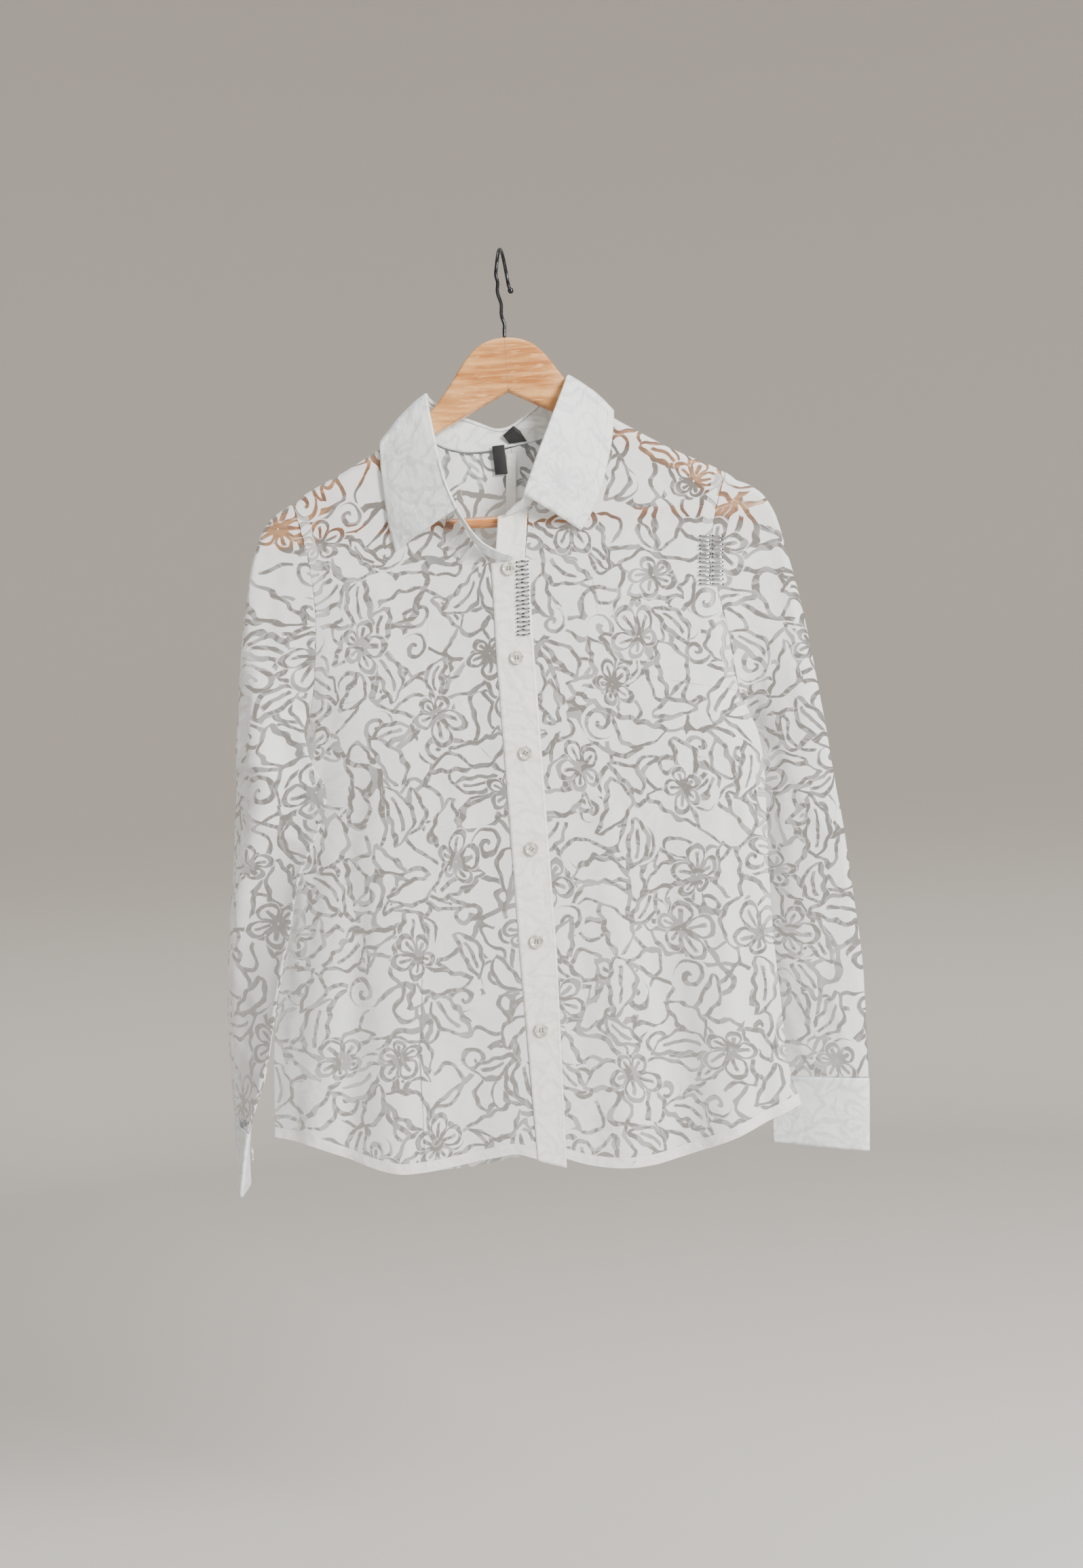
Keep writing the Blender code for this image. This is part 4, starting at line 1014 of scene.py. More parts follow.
def creased(grid, rows, seed, crumple, reach):
    """The grid with soft creases and a fine crumple, moved along its own normal. The two
    edges across stay where they are over the reach, counted in rows from each end."""
    normal = grid_normals(grid)
    if np.mean(normal[:, :, 1]) > 0:
        normal = -normal
    made = grid.copy()
    last = grid.shape[0] - 1
    for r in range(grid.shape[0]):
        calm = 1.0
        if reach[0]:
            calm *= smooth_step(r / reach[0])
        if reach[1]:
            calm *= smooth_step((last - r) / reach[1])
        for c in range(grid.shape[1]):
            x, _, z = grid[r, c]
            lift = crumple * (
                0.7 * soft_noise(x, z * 0.6, 26, seed) + 0.4 * soft_noise(x * 1.3, z, 11, seed + 9)
            )
            for row in rows:
                lift += crease(x, z, row) * CREASE_LIFT
            made[r, c] += normal[r, c] * lift * calm
    return made


def sheet_mesh(name, grid, uv, finish, ring=False, thick=0.0, back_uv=None):
    """One thin sheet of cloth from a grid in millimetres, with uv in metres. A tube's
    second half takes its places from back_uv."""
    rows, cols = grid.shape[:2]
    points = grid[:, :-1] if ring else grid
    width = points.shape[1]
    verts = (points.reshape(-1, 3) * MM).tolist()
    faces, loops = [], []
    for r in range(rows - 1):
        for c in range(cols - 1):
            n = (c + 1) % width
            faces.append((r * width + c, r * width + n, (r + 1) * width + n, (r + 1) * width + c))
            use = uv if back_uv is None or c < (cols - 1) // 2 else back_uv
            loops += [use[r, c], use[r, c + 1], use[r + 1, c + 1], use[r + 1, c]]
    mesh = bpy.data.meshes.new(name)
    mesh.from_pydata(verts, [], faces)
    layer = mesh.uv_layers.new(name="cloth")
    layer.data.foreach_set("uv", np.array(loops, float).ravel())
    mesh.materials.append(finish)
    mesh.shade_smooth()
    made = bpy.data.objects.new(name, mesh)
    bpy.context.scene.collection.objects.link(made)
    if thick:
        wall = made.modifiers.new("wall", "SOLIDIFY")
        wall.thickness = thick * MM
        wall.offset = 0
    return made


def flat_uv(grid, shift):
    """Places on the cloth in metres, from width and drop, shifted so pieces differ."""
    return grid[:, :, [0, 2]] * MM + np.array(shift)


def third_point(first, second, from_first, from_second):
    """The point below the line from first to second at these distances from them."""
    base = second - first
    gap = np.linalg.norm(base)
    along = (from_first**2 - from_second**2 + gap**2) / (2 * gap)
    off = math.sqrt(max(from_first**2 - along**2, 0.0))
    return first + base / gap * along + np.array((base[1], -base[0])) / gap * off


def tube_uv(grid, shift, back_shift):
    """Places on a pressed tube of cloth in metres, for its front and its back: the strip
    between its two folds laid flat, triangle by triangle."""
    half = (grid.shape[1] - 1) // 2
    outer, inner = grid[:, 0], grid[:, half]
    flat = [(np.zeros(2), np.array((np.linalg.norm(inner[0] - outer[0]), 0.0)))]
    for n in range(len(grid) - 1):
        left, right = flat[-1]
        low_left = third_point(
            left, right, np.linalg.norm(outer[n + 1] - outer[n]),
            np.linalg.norm(outer[n + 1] - inner[n]),
        )
        low_right = third_point(
            low_left, right, np.linalg.norm(inner[n + 1] - outer[n + 1]),
            np.linalg.norm(inner[n + 1] - inner[n]),
        )
        flat.append((low_left, low_right))
    left, right = np.array([pair[0] for pair in flat]), np.array([pair[1] for pair in flat])
    steps = np.linalg.norm(np.diff(grid, axis=1), axis=2)
    uvs = []
    for part, move in ((steps[:, :half], shift), (steps[:, half:][:, ::-1], back_shift)):
        share = np.concatenate([np.zeros((len(grid), 1)), np.cumsum(part, axis=1)], axis=1)
        share = (share / share[:, -1:])[:, :, None]
        uvs.append((left[:, None] * (1 - share) + right[:, None] * share) * MM + np.array(move))
    front = np.concatenate([uvs[0], uvs[0][:, -2::-1]], axis=1)
    back = np.concatenate([uvs[1], uvs[1][:, -2::-1]], axis=1)
    return front, back


def hex_colour(code):
    """A colour written as sRGB hex, as linear red, green, blue and alpha."""
    parts = [int(code[n : n + 2], 16) / 255 for n in (0, 2, 4)]
    line = [p / 12.92 if p <= 0.04045 else ((p + 0.055) / 1.055) ** 2.4 for p in parts]
    return (*line, 1.0)


# What the second word of a node's kind sets, where it isn't the operation
WAYS = {"MapRange": "interpolation_type", "Mix": "data_type", "TexVoronoi": "feature"}


def add(tree, kind, *sources, out=0, **words):
    """A new node, of which this gives one output. The kind may end with its way of working.
    Sources fill the open inputs in order, and text is a colour as hex. A word with a capital
    is an input by its name, and others are settings."""
    kind, _, way = kind.partition(" ")
    node = tree.nodes.new(f"ShaderNode{kind}")
    settings = {word: value for word, value in words.items() if word[0].islower()}
    if way:
        settings[WAYS.get(kind, "operation")] = way
    for word, value in settings.items():
        setattr(node, word, value)
    filled = list(zip([socket for socket in node.inputs if socket.enabled], sources))
    filled += [(node.inputs[word], words[word]) for word in words if word not in settings]
    for socket, source in filled:
        if isinstance(source, bpy.types.NodeSocket):
            tree.links.new(source, socket)
        else:
            socket.default_value = hex_colour(source) if isinstance(source, str) else source
    if isinstance(out, str):
        return node.outputs[out]
    return [socket for socket in node.outputs if socket.enabled][out]


def new_finish(name):
    """An empty material and its Principled shader."""
    made = bpy.data.materials.new(name)
    made.use_nodes = True
    return made, made.node_tree, made.node_tree.nodes["Principled BSDF"]


def line_mask(tree, distance, width):
    """1 on a drawn line of this width about distance 0, with a soft edge."""
    half = add(tree, "Math MULTIPLY", width, 0.5)
    return add(
        tree, "MapRange SMOOTHSTEP", add(tree, "Math SUBTRACT", half, distance), -LINE_EDGE,
        LINE_EDGE, 0.0, 1.0,
    )


def cell_place(tree, place, cell, seed):
    """Each cell's own x, y about its middle, turned by a random angle, and a random
    number of the cell."""
    moved = add(tree, "VectorMath ADD", place, (seed * 1.37, seed * 2.11, 0))
    middle = add(
        tree, "TexVoronoi F1", moved, voronoi_dimensions="2D",
        Scale=1 / cell, Randomness=CELL_RANDOM, out="Position",
    )
    cells = middle.node
    local = add(tree, "VectorMath SUBTRACT", moved, middle)
    number = add(tree, "SeparateColor", cells.outputs["Color"])
    turn = add(tree, "Math MULTIPLY", number, 2 * math.pi)
    turned_place = add(tree, "VectorRotate", local, rotation_type="Z_AXIS", Angle=turn)
    x = add(tree, "SeparateXYZ", turned_place)
    return x, x.node.outputs[1], number.node.outputs[1]


def flower_lines(tree, place, width, cell, size, petals, seed):
    """Outlines of open flowers: wavy petals, a vein in each and a ring of stamens.
    Also gives 1 inside the flower."""
    x, y, number = cell_place(tree, place, cell, seed)
    y = add(tree, "Math DIVIDE", y, FLOWER_LONG)
    reach = add(
        tree, "Math SQRT",
        add(tree, "Math ADD", add(tree, "Math MULTIPLY", x, x), add(tree, "Math MULTIPLY", y, y)),
    )
    angle = add(tree, "Math ARCTAN2", y, x)
    wave = add(tree, "Math COSINE", add(tree, "Math MULTIPLY", angle, petals / 2))
    bump = add(tree, "Math POWER", add(tree, "Math ABSOLUTE", wave), 0.55)
    grown = add(tree, "MapRange", number, 0, 1, size * 0.85, size * 1.12)
    uneven = add(
        tree, "Math SINE", add(tree, "Math ADD", angle, add(tree, "Math MULTIPLY", number, 6.0))
    )
    tall = add(tree, "Math ADD", 1.0, add(tree, "Math MULTIPLY", uneven, FLOWER_UNEVEN))
    rim = add(
        tree, "Math MULTIPLY", add(tree, "Math ADD", 0.34, add(tree, "Math MULTIPLY", bump, 0.62)),
        grown,
    )
    rim = add(tree, "Math MULTIPLY", rim, tall)
    outline = line_mask(
        tree, add(tree, "Math ABSOLUTE", add(tree, "Math SUBTRACT", reach, rim)), width
    )
    side = add(
        tree, "Math ABSOLUTE", add(tree, "Math SINE", add(tree, "Math MULTIPLY", angle, petals / 2))
    )
    vein = line_mask(
        tree, add(tree, "Math MULTIPLY", side, add(tree, "Math MULTIPLY", reach, 2 / petals)),
        add(tree, "Math MULTIPLY", width, 0.7),
    )
    part = add(tree, "Math DIVIDE", reach, rim)
    vein = add(
        tree, "Math MULTIPLY", vein,
        add(
            tree, "Math MULTIPLY", add(tree, "MapRange SMOOTHSTEP", part, 0.2, 0.3, 0.0, 1.0),
            add(tree, "MapRange SMOOTHSTEP", part, 0.85, 0.7, 0.0, 1.0),
        ),
    )
    cleft = line_mask(
        tree,
        add(
            tree, "Math MULTIPLY", add(tree, "Math ABSOLUTE", wave),
            add(tree, "Math MULTIPLY", reach, 2 / petals),
        ),
        width,
    )
    cleft = add(
        tree, "Math MULTIPLY", cleft,
        add(tree, "MapRange SMOOTHSTEP", reach, size * 0.1, size * 0.16, 0.0, 1.0),
    )
    cleft = add(
        tree, "Math MULTIPLY", cleft, add(tree, "MapRange SMOOTHSTEP", part, 1.02, 0.98, 0.0, 1.0)
    )
    core = line_mask(
        tree, add(tree, "Math ABSOLUTE", add(tree, "Math SUBTRACT", reach, size * 0.13)), width
    )
    drawn = add(
        tree, "Math MAXIMUM", add(tree, "Math MAXIMUM", outline, vein),
        add(tree, "Math MAXIMUM", cleft, core),
    )
    inside = add(
        tree, "MapRange SMOOTHSTEP", add(tree, "Math SUBTRACT", reach, rim), 0.004, 0.002, 0.0, 1.0
    )
    return drawn, inside


def leaf_lines(tree, place, width, cell, length, breadth, seed):
    """Outlines of pointed leaves with wavy edges and a midrib. Also gives 1 inside."""
    x, y, number = cell_place(tree, place, cell, seed)
    along = add(tree, "Math DIVIDE", x, length)
    bow = add(tree, "Math MULTIPLY", add(tree, "Math MULTIPLY", along, along), breadth * 0.8)
    off = add(tree, "Math SUBTRACT", y, bow)
    round_off = add(tree, "Math SUBTRACT", 1.0, add(tree, "Math MULTIPLY", along, along))
    ripple = add(
        tree, "Math MULTIPLY", add(tree, "Math SINE", add(tree, "Math MULTIPLY", x, 450.0)),
        breadth * 0.1,
    )
    rim = add(tree, "Math ADD", add(tree, "Math MULTIPLY", round_off, breadth), ripple)
    gap = add(tree, "Math SUBTRACT", add(tree, "Math ABSOLUTE", off), rim)
    near = add(tree, "MapRange SMOOTHSTEP", add(tree, "Math ABSOLUTE", along), 1.02, 0.98, 0.0, 1.0)
    outline = add(
        tree, "Math MULTIPLY", line_mask(tree, add(tree, "Math ABSOLUTE", gap), width), near
    )
    rib = line_mask(tree, add(tree, "Math ABSOLUTE", off), add(tree, "Math MULTIPLY", width, 0.75))
    rib = add(
        tree, "Math MULTIPLY", rib,
        add(tree, "MapRange SMOOTHSTEP", add(tree, "Math ABSOLUTE", along), 0.6, 0.5, 0.0, 1.0),
    )
    rib = add(tree, "Math MULTIPLY", rib, add(tree, "Math GREATER_THAN", number, 0.55))
    inside = add(
        tree, "Math MULTIPLY", add(tree, "MapRange SMOOTHSTEP", gap, 0.003, 0.0015, 0.0, 1.0), near
    )
    return add(tree, "Math MAXIMUM", outline, rib), inside


def scroll_lines(tree, place, width, cell, radius, pitch, seed):
    """Curled scrolls: a short spiral in each cell. Also gives 1 inside."""
    x, y, number = cell_place(tree, place, cell, seed)
    reach = add(
        tree, "Math SQRT",
        add(tree, "Math ADD", add(tree, "Math MULTIPLY", x, x), add(tree, "Math MULTIPLY", y, y)),
    )
    turns = add(tree, "Math DIVIDE", add(tree, "Math ARCTAN2", y, x), 2 * math.pi)
    coil = add(tree, "Math SUBTRACT", add(tree, "Math DIVIDE", reach, pitch), turns)
    off = add(tree, "Math ABSOLUTE", add(tree, "Math SUBTRACT", add(tree, "Math FRACT", coil), 0.5))
    grown = add(tree, "MapRange", number, 0, 1, radius * 0.7, radius * 1.1)
    lines = line_mask(tree, add(tree, "Math MULTIPLY", off, pitch), width)
    inside = add(
        tree, "MapRange SMOOTHSTEP", add(tree, "Math SUBTRACT", reach, grown), 0.001, -0.001, 0.0,
        1.0,
    )
    return (
        add(tree, "Math MULTIPLY", lines, inside),
        add(
            tree, "MapRange SMOOTHSTEP", add(tree, "Math SUBTRACT", reach, grown), 0.003, 0.002,
            0.0, 1.0,
        ),
    )


def stem_lines(tree, place, width, scale, seed):
    """Wandering stems: the level lines of a slow noise, of one width by its slope."""
    value, right, up = (
        add(
            tree, "TexNoise", add(tree, "VectorMath ADD", place, (seed + a, b - seed, seed)),
            Scale=scale, Detail=0.6, Roughness=0.4,
        )
        for a, b in ((0, 0), (SLOPE_STEP, 0), (0, SLOPE_STEP))
    )
    rises = [
        add(
            tree, "Math POWER",
            add(tree, "Math ABSOLUTE", add(tree, "Math SUBTRACT", near, value)), 2.0,
        )
        for near in (right, up)
    ]
    slope = add(
        tree, "Math DIVIDE", add(tree, "Math SQRT", add(tree, "Math ADD", *rises)), SLOPE_STEP
    )
    least = add(tree, "Math MAXIMUM", slope, scale * 0.3)
    distance = add(
        tree, "Math DIVIDE", add(tree, "Math ABSOLUTE", add(tree, "Math SUBTRACT", value, 0.5)),
        least,
    )
    return line_mask(tree, distance, width)


def burnout_lines(tree):
    """The whole drawn pattern on the cloth: 1 where the pile is etched away."""
    place = add(tree, "UVMap", uv_map="cloth")
    sway = add(tree, "TexNoise", place, Scale=1 / WARP_WIDE_SIZE, Detail=1.0, out="Color")
    shiver = add(tree, "TexNoise", place, Scale=1 / WARP_FINE_SIZE, Detail=1.5, out="Color")
    wide = add(
        tree, "VectorMath MULTIPLY", add(tree, "VectorMath SUBTRACT", sway, (0.5,) * 3),
        (WARP_WIDE,) * 3,
    )
    close = add(
        tree, "VectorMath MULTIPLY", add(tree, "VectorMath SUBTRACT", shiver, (0.5,) * 3),
        (WARP_FINE,) * 3,
    )
    bent = add(tree, "VectorMath ADD", place, add(tree, "VectorMath ADD", wide, close))
    flat_place = add(tree, "VectorMath MULTIPLY", bent, (1, 1, 0))
    width = add(
        tree, "MapRange SMOOTHSTEP",
        add(tree, "TexNoise", place, Scale=WIDTH_SCALE, Detail=1.0, Roughness=0.5), 0.3, 0.7,
        LINE_THIN, LINE_WIDE,
    )
    motifs = [(flower_lines, row) for row in FLOWERS]
    motifs += [(leaf_lines, row) for row in LEAVES] + [(scroll_lines, row) for row in SCROLLS]
    drawn, covered = None, None
    for make, row in motifs:
        lines, inside = make(tree, flat_place, width, *row)
        if drawn is None:
            drawn, covered = lines, inside
        else:
            free = add(tree, "Math SUBTRACT", 1.0, covered)
            drawn = add(tree, "Math MAXIMUM", drawn, add(tree, "Math MULTIPLY", lines, free))
            covered = add(tree, "Math MAXIMUM", covered, inside)
    stems = add(
        tree, "Math MAXIMUM", stem_lines(tree, flat_place, width, STEM_SCALE, 4.0),
        stem_lines(tree, flat_place, add(tree, "Math MULTIPLY", width, 0.8), STEM_CLOSE, 9.0),
    )
    free = add(tree, "Math SUBTRACT", 1.0, covered)
    return add(tree, "Math MAXIMUM", drawn, add(tree, "Math MULTIPLY", stems, free)), place


def weave(tree, place, depth):
    """Crosswise slubs and a fine weave as bump, and a faint change of shade."""
    slub_place = add(tree, "VectorMath MULTIPLY", place, SLUBS)
    slub = add(tree, "TexNoise", slub_place, Scale=1.0, Detail=2.0, Roughness=0.5)
    close = add(
        tree, "TexNoise", add(tree, "VectorMath MULTIPLY", place, THREADS), Scale=1.0, Detail=1.0,
        Roughness=0.5,
    )
    height = add(
        tree, "Math ADD", add(tree, "Math MULTIPLY", slub, 0.6),
        add(tree, "Math MULTIPLY", close, 0.4),
    )
    return slub, add(tree, "Bump", Strength=depth, Distance=WEAVE_DEPTH, Height=height)


def sheer_finish(name, tint, line_tint, opaque, sheer):
    """Burnout organza: a milky woven ground, etched thin along drawn lines. What lies behind
    shows in the lines, bright over the floor and dark or orange over the wood. The lines' dark
    grey is partly the thin net's own duller tone and partly painted shade of the shirt's dim
    inside."""
    made, tree, shader = new_finish(name)
    lines, place = burnout_lines(tree)
    slub, normal = weave(tree, place, 0.35)
    shade = add(
        tree, "Mix RGBA", add(tree, "MapRange SMOOTHSTEP", slub, 0.3, 0.7, 0.0, 0.12), tint,
        SHADE_WHITE,
    )
    # The grey mixed into the lines is partly the net's own tone and partly painted shade of the
    # shirt's inside
    tree.links.new(add(tree, "Mix RGBA", lines, shade, line_tint), shader.inputs["Base Color"])
    tree.links.new(normal, shader.inputs["Normal"])
    thin = add(tree, "MapRange SMOOTHSTEP", slub, 0.3, 0.7, opaque, opaque - 0.05)
    alpha = add(
        tree, "Math ADD", add(tree, "Math MULTIPLY", add(tree, "Math SUBTRACT", 1.0, lines), thin),
        add(tree, "Math MULTIPLY", lines, sheer),
    )
    tree.links.new(alpha, shader.inputs["Alpha"])
    tree.links.new(
        add(tree, "MapRange SMOOTHSTEP", lines, 0, 1, 0.72, 0.5), shader.inputs["Roughness"]
    )
    shader.inputs["Sheen Weight"].default_value = 0.25
    shader.inputs["Sheen Roughness"].default_value = 0.4
    return made


def crisp_finish(name, tint, line_tint, tone, alpha=1.0):
    """The same cloth laid double: it hides what is behind it, its lines are only a little
    greyer, and small dents in it catch the light."""
    made, tree, shader = new_finish(name)
    lines, place = burnout_lines(tree)
    slub, normal = weave(tree, place, 0.5)
    shade = add(
        tree, "Mix RGBA", add(tree, "MapRange SMOOTHSTEP", slub, 0.3, 0.7, 0.0, 0.15), tint,
        SHADE_WHITE,
    )
    share = add(tree, "Math MULTIPLY", lines, tone)
    tree.links.new(add(tree, "Mix RGBA", share, shade, line_tint), shader.inputs["Base Color"])
    height = add(tree, "TexNoise", place, Scale=CRUMPLE_SCALE, Detail=2.5, Roughness=0.55)
    crumple = add(
        tree, "Bump", Strength=0.7, Distance=CRUMPLE_DEPTH, Height=height, Normal=normal
    )
    tree.links.new(crumple, shader.inputs["Normal"])
    tree.links.new(
        add(tree, "MapRange SMOOTHSTEP", lines, 0, 1, 0.62, 0.5), shader.inputs["Roughness"]
    )
    shader.inputs["Alpha"].default_value = alpha
    shader.inputs["Sheen Weight"].default_value = 0.3
    shader.inputs["Sheen Roughness"].default_value = 0.4
    return made


def wood_finish(name, pale, dark, fleck, rough, coat):
    """Varnished wood: darker streaks along X, small flecks and worn patches under a coat
    with a soft highlight."""
    made, tree, shader = new_finish(name)
    place = add(tree, "TexCoord", out="Object")
    rings = add(
        tree, "TexNoise", add(tree, "VectorMath MULTIPLY", place, GRAIN), Scale=1.0,
        Detail=4.0, Roughness=0.6,
    )
    flecks = add(
        tree, "TexNoise", add(tree, "VectorMath MULTIPLY", place, FLECKS), Scale=1.0,
        Detail=2.0, Roughness=0.7,
    )
    cloudy = add(tree, "TexNoise", place, Scale=CLOUDS, Detail=2.0, Roughness=0.5)
    base = add(
        tree, "Mix RGBA", add(tree, "MapRange SMOOTHSTEP", rings, 0.35, 0.68, 0.0, 1.0), pale, dark
    )
    base = add(
        tree, "Mix RGBA", add(tree, "MapRange SMOOTHSTEP", flecks, 0.55, 0.75, 0.0, 0.7), base,
        fleck,
    )
    base = add(
        tree, "Mix RGBA", add(tree, "MapRange SMOOTHSTEP", cloudy, 0.45, 0.75, 0.0, 0.35), base,
        fleck,
    )
    tree.links.new(base, shader.inputs["Base Color"])
    tree.links.new(
        add(tree, "MapRange SMOOTHSTEP", flecks, 0.3, 0.8, rough, rough + 0.15),
        shader.inputs["Roughness"],
    )
    bump = add(tree, "Bump", Strength=0.25, Distance=GRAIN_DEPTH, Height=rings)
    tree.links.new(bump, shader.inputs["Normal"])
    shader.inputs["Coat Weight"].default_value = coat
    shader.inputs["Coat Roughness"].default_value = 0.2
    return made


def plain_finish(name, tint, other, rough, metal, scale, bump_depth=0.1):
    """A finish with a little uneven shade, gloss and surface."""
    made, tree, shader = new_finish(name)
    place = add(tree, "TexCoord", out="Object")
    value = add(tree, "TexNoise", place, Scale=scale, Detail=3.0, Roughness=0.5)
    tree.links.new(
        add(
            tree, "Mix RGBA", add(tree, "MapRange SMOOTHSTEP", value, 0.35, 0.65, 0.0, 1.0), tint,
            other,
        ),
        shader.inputs["Base Color"],
    )
    tree.links.new(
        add(tree, "MapRange SMOOTHSTEP", value, 0.3, 0.7, rough * 0.8, min(rough * 1.25, 1)),
        shader.inputs["Roughness"],
    )
    bump = add(tree, "Bump", Strength=bump_depth, Distance=FINE_DEPTH, Height=value)
    tree.links.new(bump, shader.inputs["Normal"])
    shader.inputs["Metallic"].default_value = metal
    return made


def bits_mesh(name, pieces, finish):
    """Many small closed pieces as one mesh. Each is (points, faces) in millimetres."""
    verts, faces = [], []
    for points, own in pieces:
        start = len(verts)
        verts += [tuple(p * MM for p in point) for point in points]
        faces += [tuple(start + n for n in face) for face in own]
    mesh = bpy.data.meshes.new(name)
    mesh.from_pydata(verts, [], faces)
    mesh.materials.append(finish)
    mesh.shade_smooth()
    made = bpy.data.objects.new(name, mesh)
    bpy.context.scene.collection.objects.link(made)
    return made


def rod(start, end, radius, sides):
    """A short closed rod with domed ends."""
    start, end = np.array(start, float), np.array(end, float)
    axis = unit(end - start)
    side = unit(np.cross(axis, (0.1, 1.0, 0.3)))
    other = np.cross(axis, side)
    rings = [
        (start, 0.55),
        (start + axis * radius * 0.8, 1.0),
        (end - axis * radius * 0.8, 1.0),
        (end, 0.55),
    ]
    points, faces = [], []
    for centre, share in rings:
        for k in range(sides):
            angle = 2 * math.pi * k / sides
            points.append(
                centre + (side * math.cos(angle) + other * math.sin(angle)) * radius * share
            )
    for n in range(3):
        for k in range(sides):
            a, b = n * sides + k, n * sides + (k + 1) % sides
            faces.append((a, b, b + sides, a + sides))
    faces.append(tuple(range(sides))[::-1])
    faces.append(tuple(range(3 * sides, 4 * sides)))
    return points, faces


def seam_run(points):
    """Stitches along a line of points."""
    points = np.array(points, float)
    steps = np.linalg.norm(np.diff(points, axis=0), axis=1)
    total = steps.sum()
    knots = np.concatenate([[0], np.cumsum(steps)])
    made = []
    for n in range(int(total / STITCH_PITCH)):
        ends = []
        for at in (n * STITCH_PITCH, n * STITCH_PITCH + STITCH_LENGTH):
            ends.append([np.interp(at, knots, points[:, k]) for k in range(3)])
        made.append(rod(ends[0], ends[1], STITCH_RADIUS, 4))
    return made


def detailed_button(name, place, turn, facing, finish):
    """A button with a rim and a dished face."""
    profile = [
        (0.0, BUTTON_BACK),
        (BUTTON_RADIUS - 0.7, BUTTON_BACK),
        (BUTTON_RADIUS - 0.15, BUTTON_BACK + 0.35),
        (BUTTON_RADIUS, BUTTON_BACK + 0.9),
        (BUTTON_RADIUS - 0.1, BUTTON_RIM - 0.35),
        (BUTTON_RADIUS - 0.5, BUTTON_RIM),
        (BUTTON_RADIUS - 1.0, BUTTON_RIM - 0.05),
        (BUTTON_RADIUS - 1.7, BUTTON_FACE + 0.1),
        (BUTTON_RADIUS - 2.6, BUTTON_FACE - 0.15),
        (0.0, BUTTON_FACE - 0.25),
    ]
    return turned(name, profile, BUTTON_SIDES, finish, place, turn, facing)


def thread_pairs(place, turn, facing):
    """Two parallel stitches of thread, and four dark dots at their ends as painted shade of the
    holes.
    """
    y_axis = unit(np.array(facing, float))
    x_axis = unit(np.cross(y_axis, (0.0, 0.0, 1.0)))
    z_axis = np.cross(x_axis, y_axis)
    angle = math.radians(turn)
    across = x_axis * math.cos(angle) + z_axis * math.sin(angle)
    along = z_axis * math.cos(angle) - x_axis * math.sin(angle)
    base = np.array(place) + y_axis * (BUTTON_FACE - 0.05)
    threads, hole_shades = [], []
    for side in (-1, 1):
        for lift in (0.0, 0.22):
            start = base + across * (side * 1.15 + lift) - along * 1.15 + y_axis * 0.15
            threads.append(rod(start, start + along * 2.3, 0.36, 6))
        for end in (-1, 1):
            centre = base + across * (side * 1.15 + 0.1) + along * end * 1.35
            # Painted shade: a black rod sunk in the face stands in for each hole's dark depth
            hole_shades.append(rod(centre - y_axis * 0.4, centre - y_axis * 0.02, 0.55, 12))
    return threads, hole_shades


def show(piece, slot_name, *nodes):
    """The piece rides on the one body and stands for these nodes; slot_name is not used."""
    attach(piece, "root")
    if nodes:
        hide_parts(*nodes)
    return piece


def panels(finish):
    """The four panels of the body, with their own creases."""
    table = (
        ("front_right", front_right(), CREASES_FRONT_RIGHT, 1, (0, 3)),
        ("front_left", front_left(), CREASES_FRONT_LEFT, 2, (12, 7)),
        ("back_right", back_half(True), CREASES_BACK, 3, (21, 1)),
        ("back_left", back_half(False), CREASES_BACK, 4, (21, 1)),
    )
    made = {}
    for node, grid, rows, seed, shift in table:
        smooth = fine(grid, PANEL_ROWS, PANEL_COLS)
        smooth = creased(smooth, rows, seed, 0.75, reach=(14, 0))
        made[node] = (
            show(
                sheet_mesh(f"{node}_cloth", smooth, flat_uv(smooth, shift), finish), "sheer_cloth",
                node,
            ),
            smooth,
        )
    return made


def sleeves(finish, crisp):
    made = {}
    table = (
        ("right", ARMHOLE_RIGHT, SLEEVE_RIGHT, CUFF_RIGHT, CREASES_SLEEVE_RIGHT, 5, (31, 2)),
        ("left", ARMHOLE_LEFT, SLEEVE_LEFT, CUFF_LEFT, CREASES_SLEEVE_LEFT, 6, (41, 5)),
    )
    for side, armhole, sleeve, cuff, rows, seed, shift in table:
        right = side == "right"
        rings = sleeve_rings(armhole_ring(armhole, right), sleeve, right)
        smooth = fine(rings, SLEEVE_ROWS, SLEEVE_COLS, ring=True)
        lifted = lapped(tube_creased(smooth, rows, seed, 0.65), side)
        uv, back_uv = tube_uv(smooth, shift, (shift[0] + 7, 3))
        piece = sheet_mesh(f"sleeve_{side}_cloth", lifted, uv, finish, ring=True, back_uv=back_uv)
        made[f"sleeve_{side}"] = (show(piece, "sheer_cloth", f"sleeve_{side}"), lifted)
        rings = sleeve_rings(None, cuff, right)
        smooth = fine(rings, CUFF_ROWS, SLEEVE_COLS, ring=True)
        lifted = tube_creased(smooth, (), seed + 20, 0.35)
        uv, back_uv = tube_uv(smooth, (shift[0] + 3, 0), (shift[0] + 5, 0))
        piece = sheet_mesh(
            f"cuff_{side}_cloth", lifted, uv, crisp, ring=True, thick=1.4, back_uv=back_uv
        )
        made[f"cuff_{side}"] = (show(piece, "crisp_cloth", f"cuff_{side}"), lifted)
    return made


def lapped(grid, side):
    """The sleeve's inner edge laid a little over the body's side, which closes the slit."""
    inward = 1 if side == "right" else -1
    table = np.array(LAPS[side], float)[::-1]
    made = grid.copy()
    for ring in made:
        reach = ring[:, 0] * inward
        place = (reach - reach.min()) / (reach.max() - reach.min())
        share = smooth_step((place - 1 + LAP_SHARE) / LAP_SHARE)
        z = ring[:, 2].copy()
        ring[:, 0] += inward * share * np.interp(z, table[:, 0], table[:, 1])
        ring[:, 1] += share * np.interp(z, table[:, 0], table[:, 2])
    return made


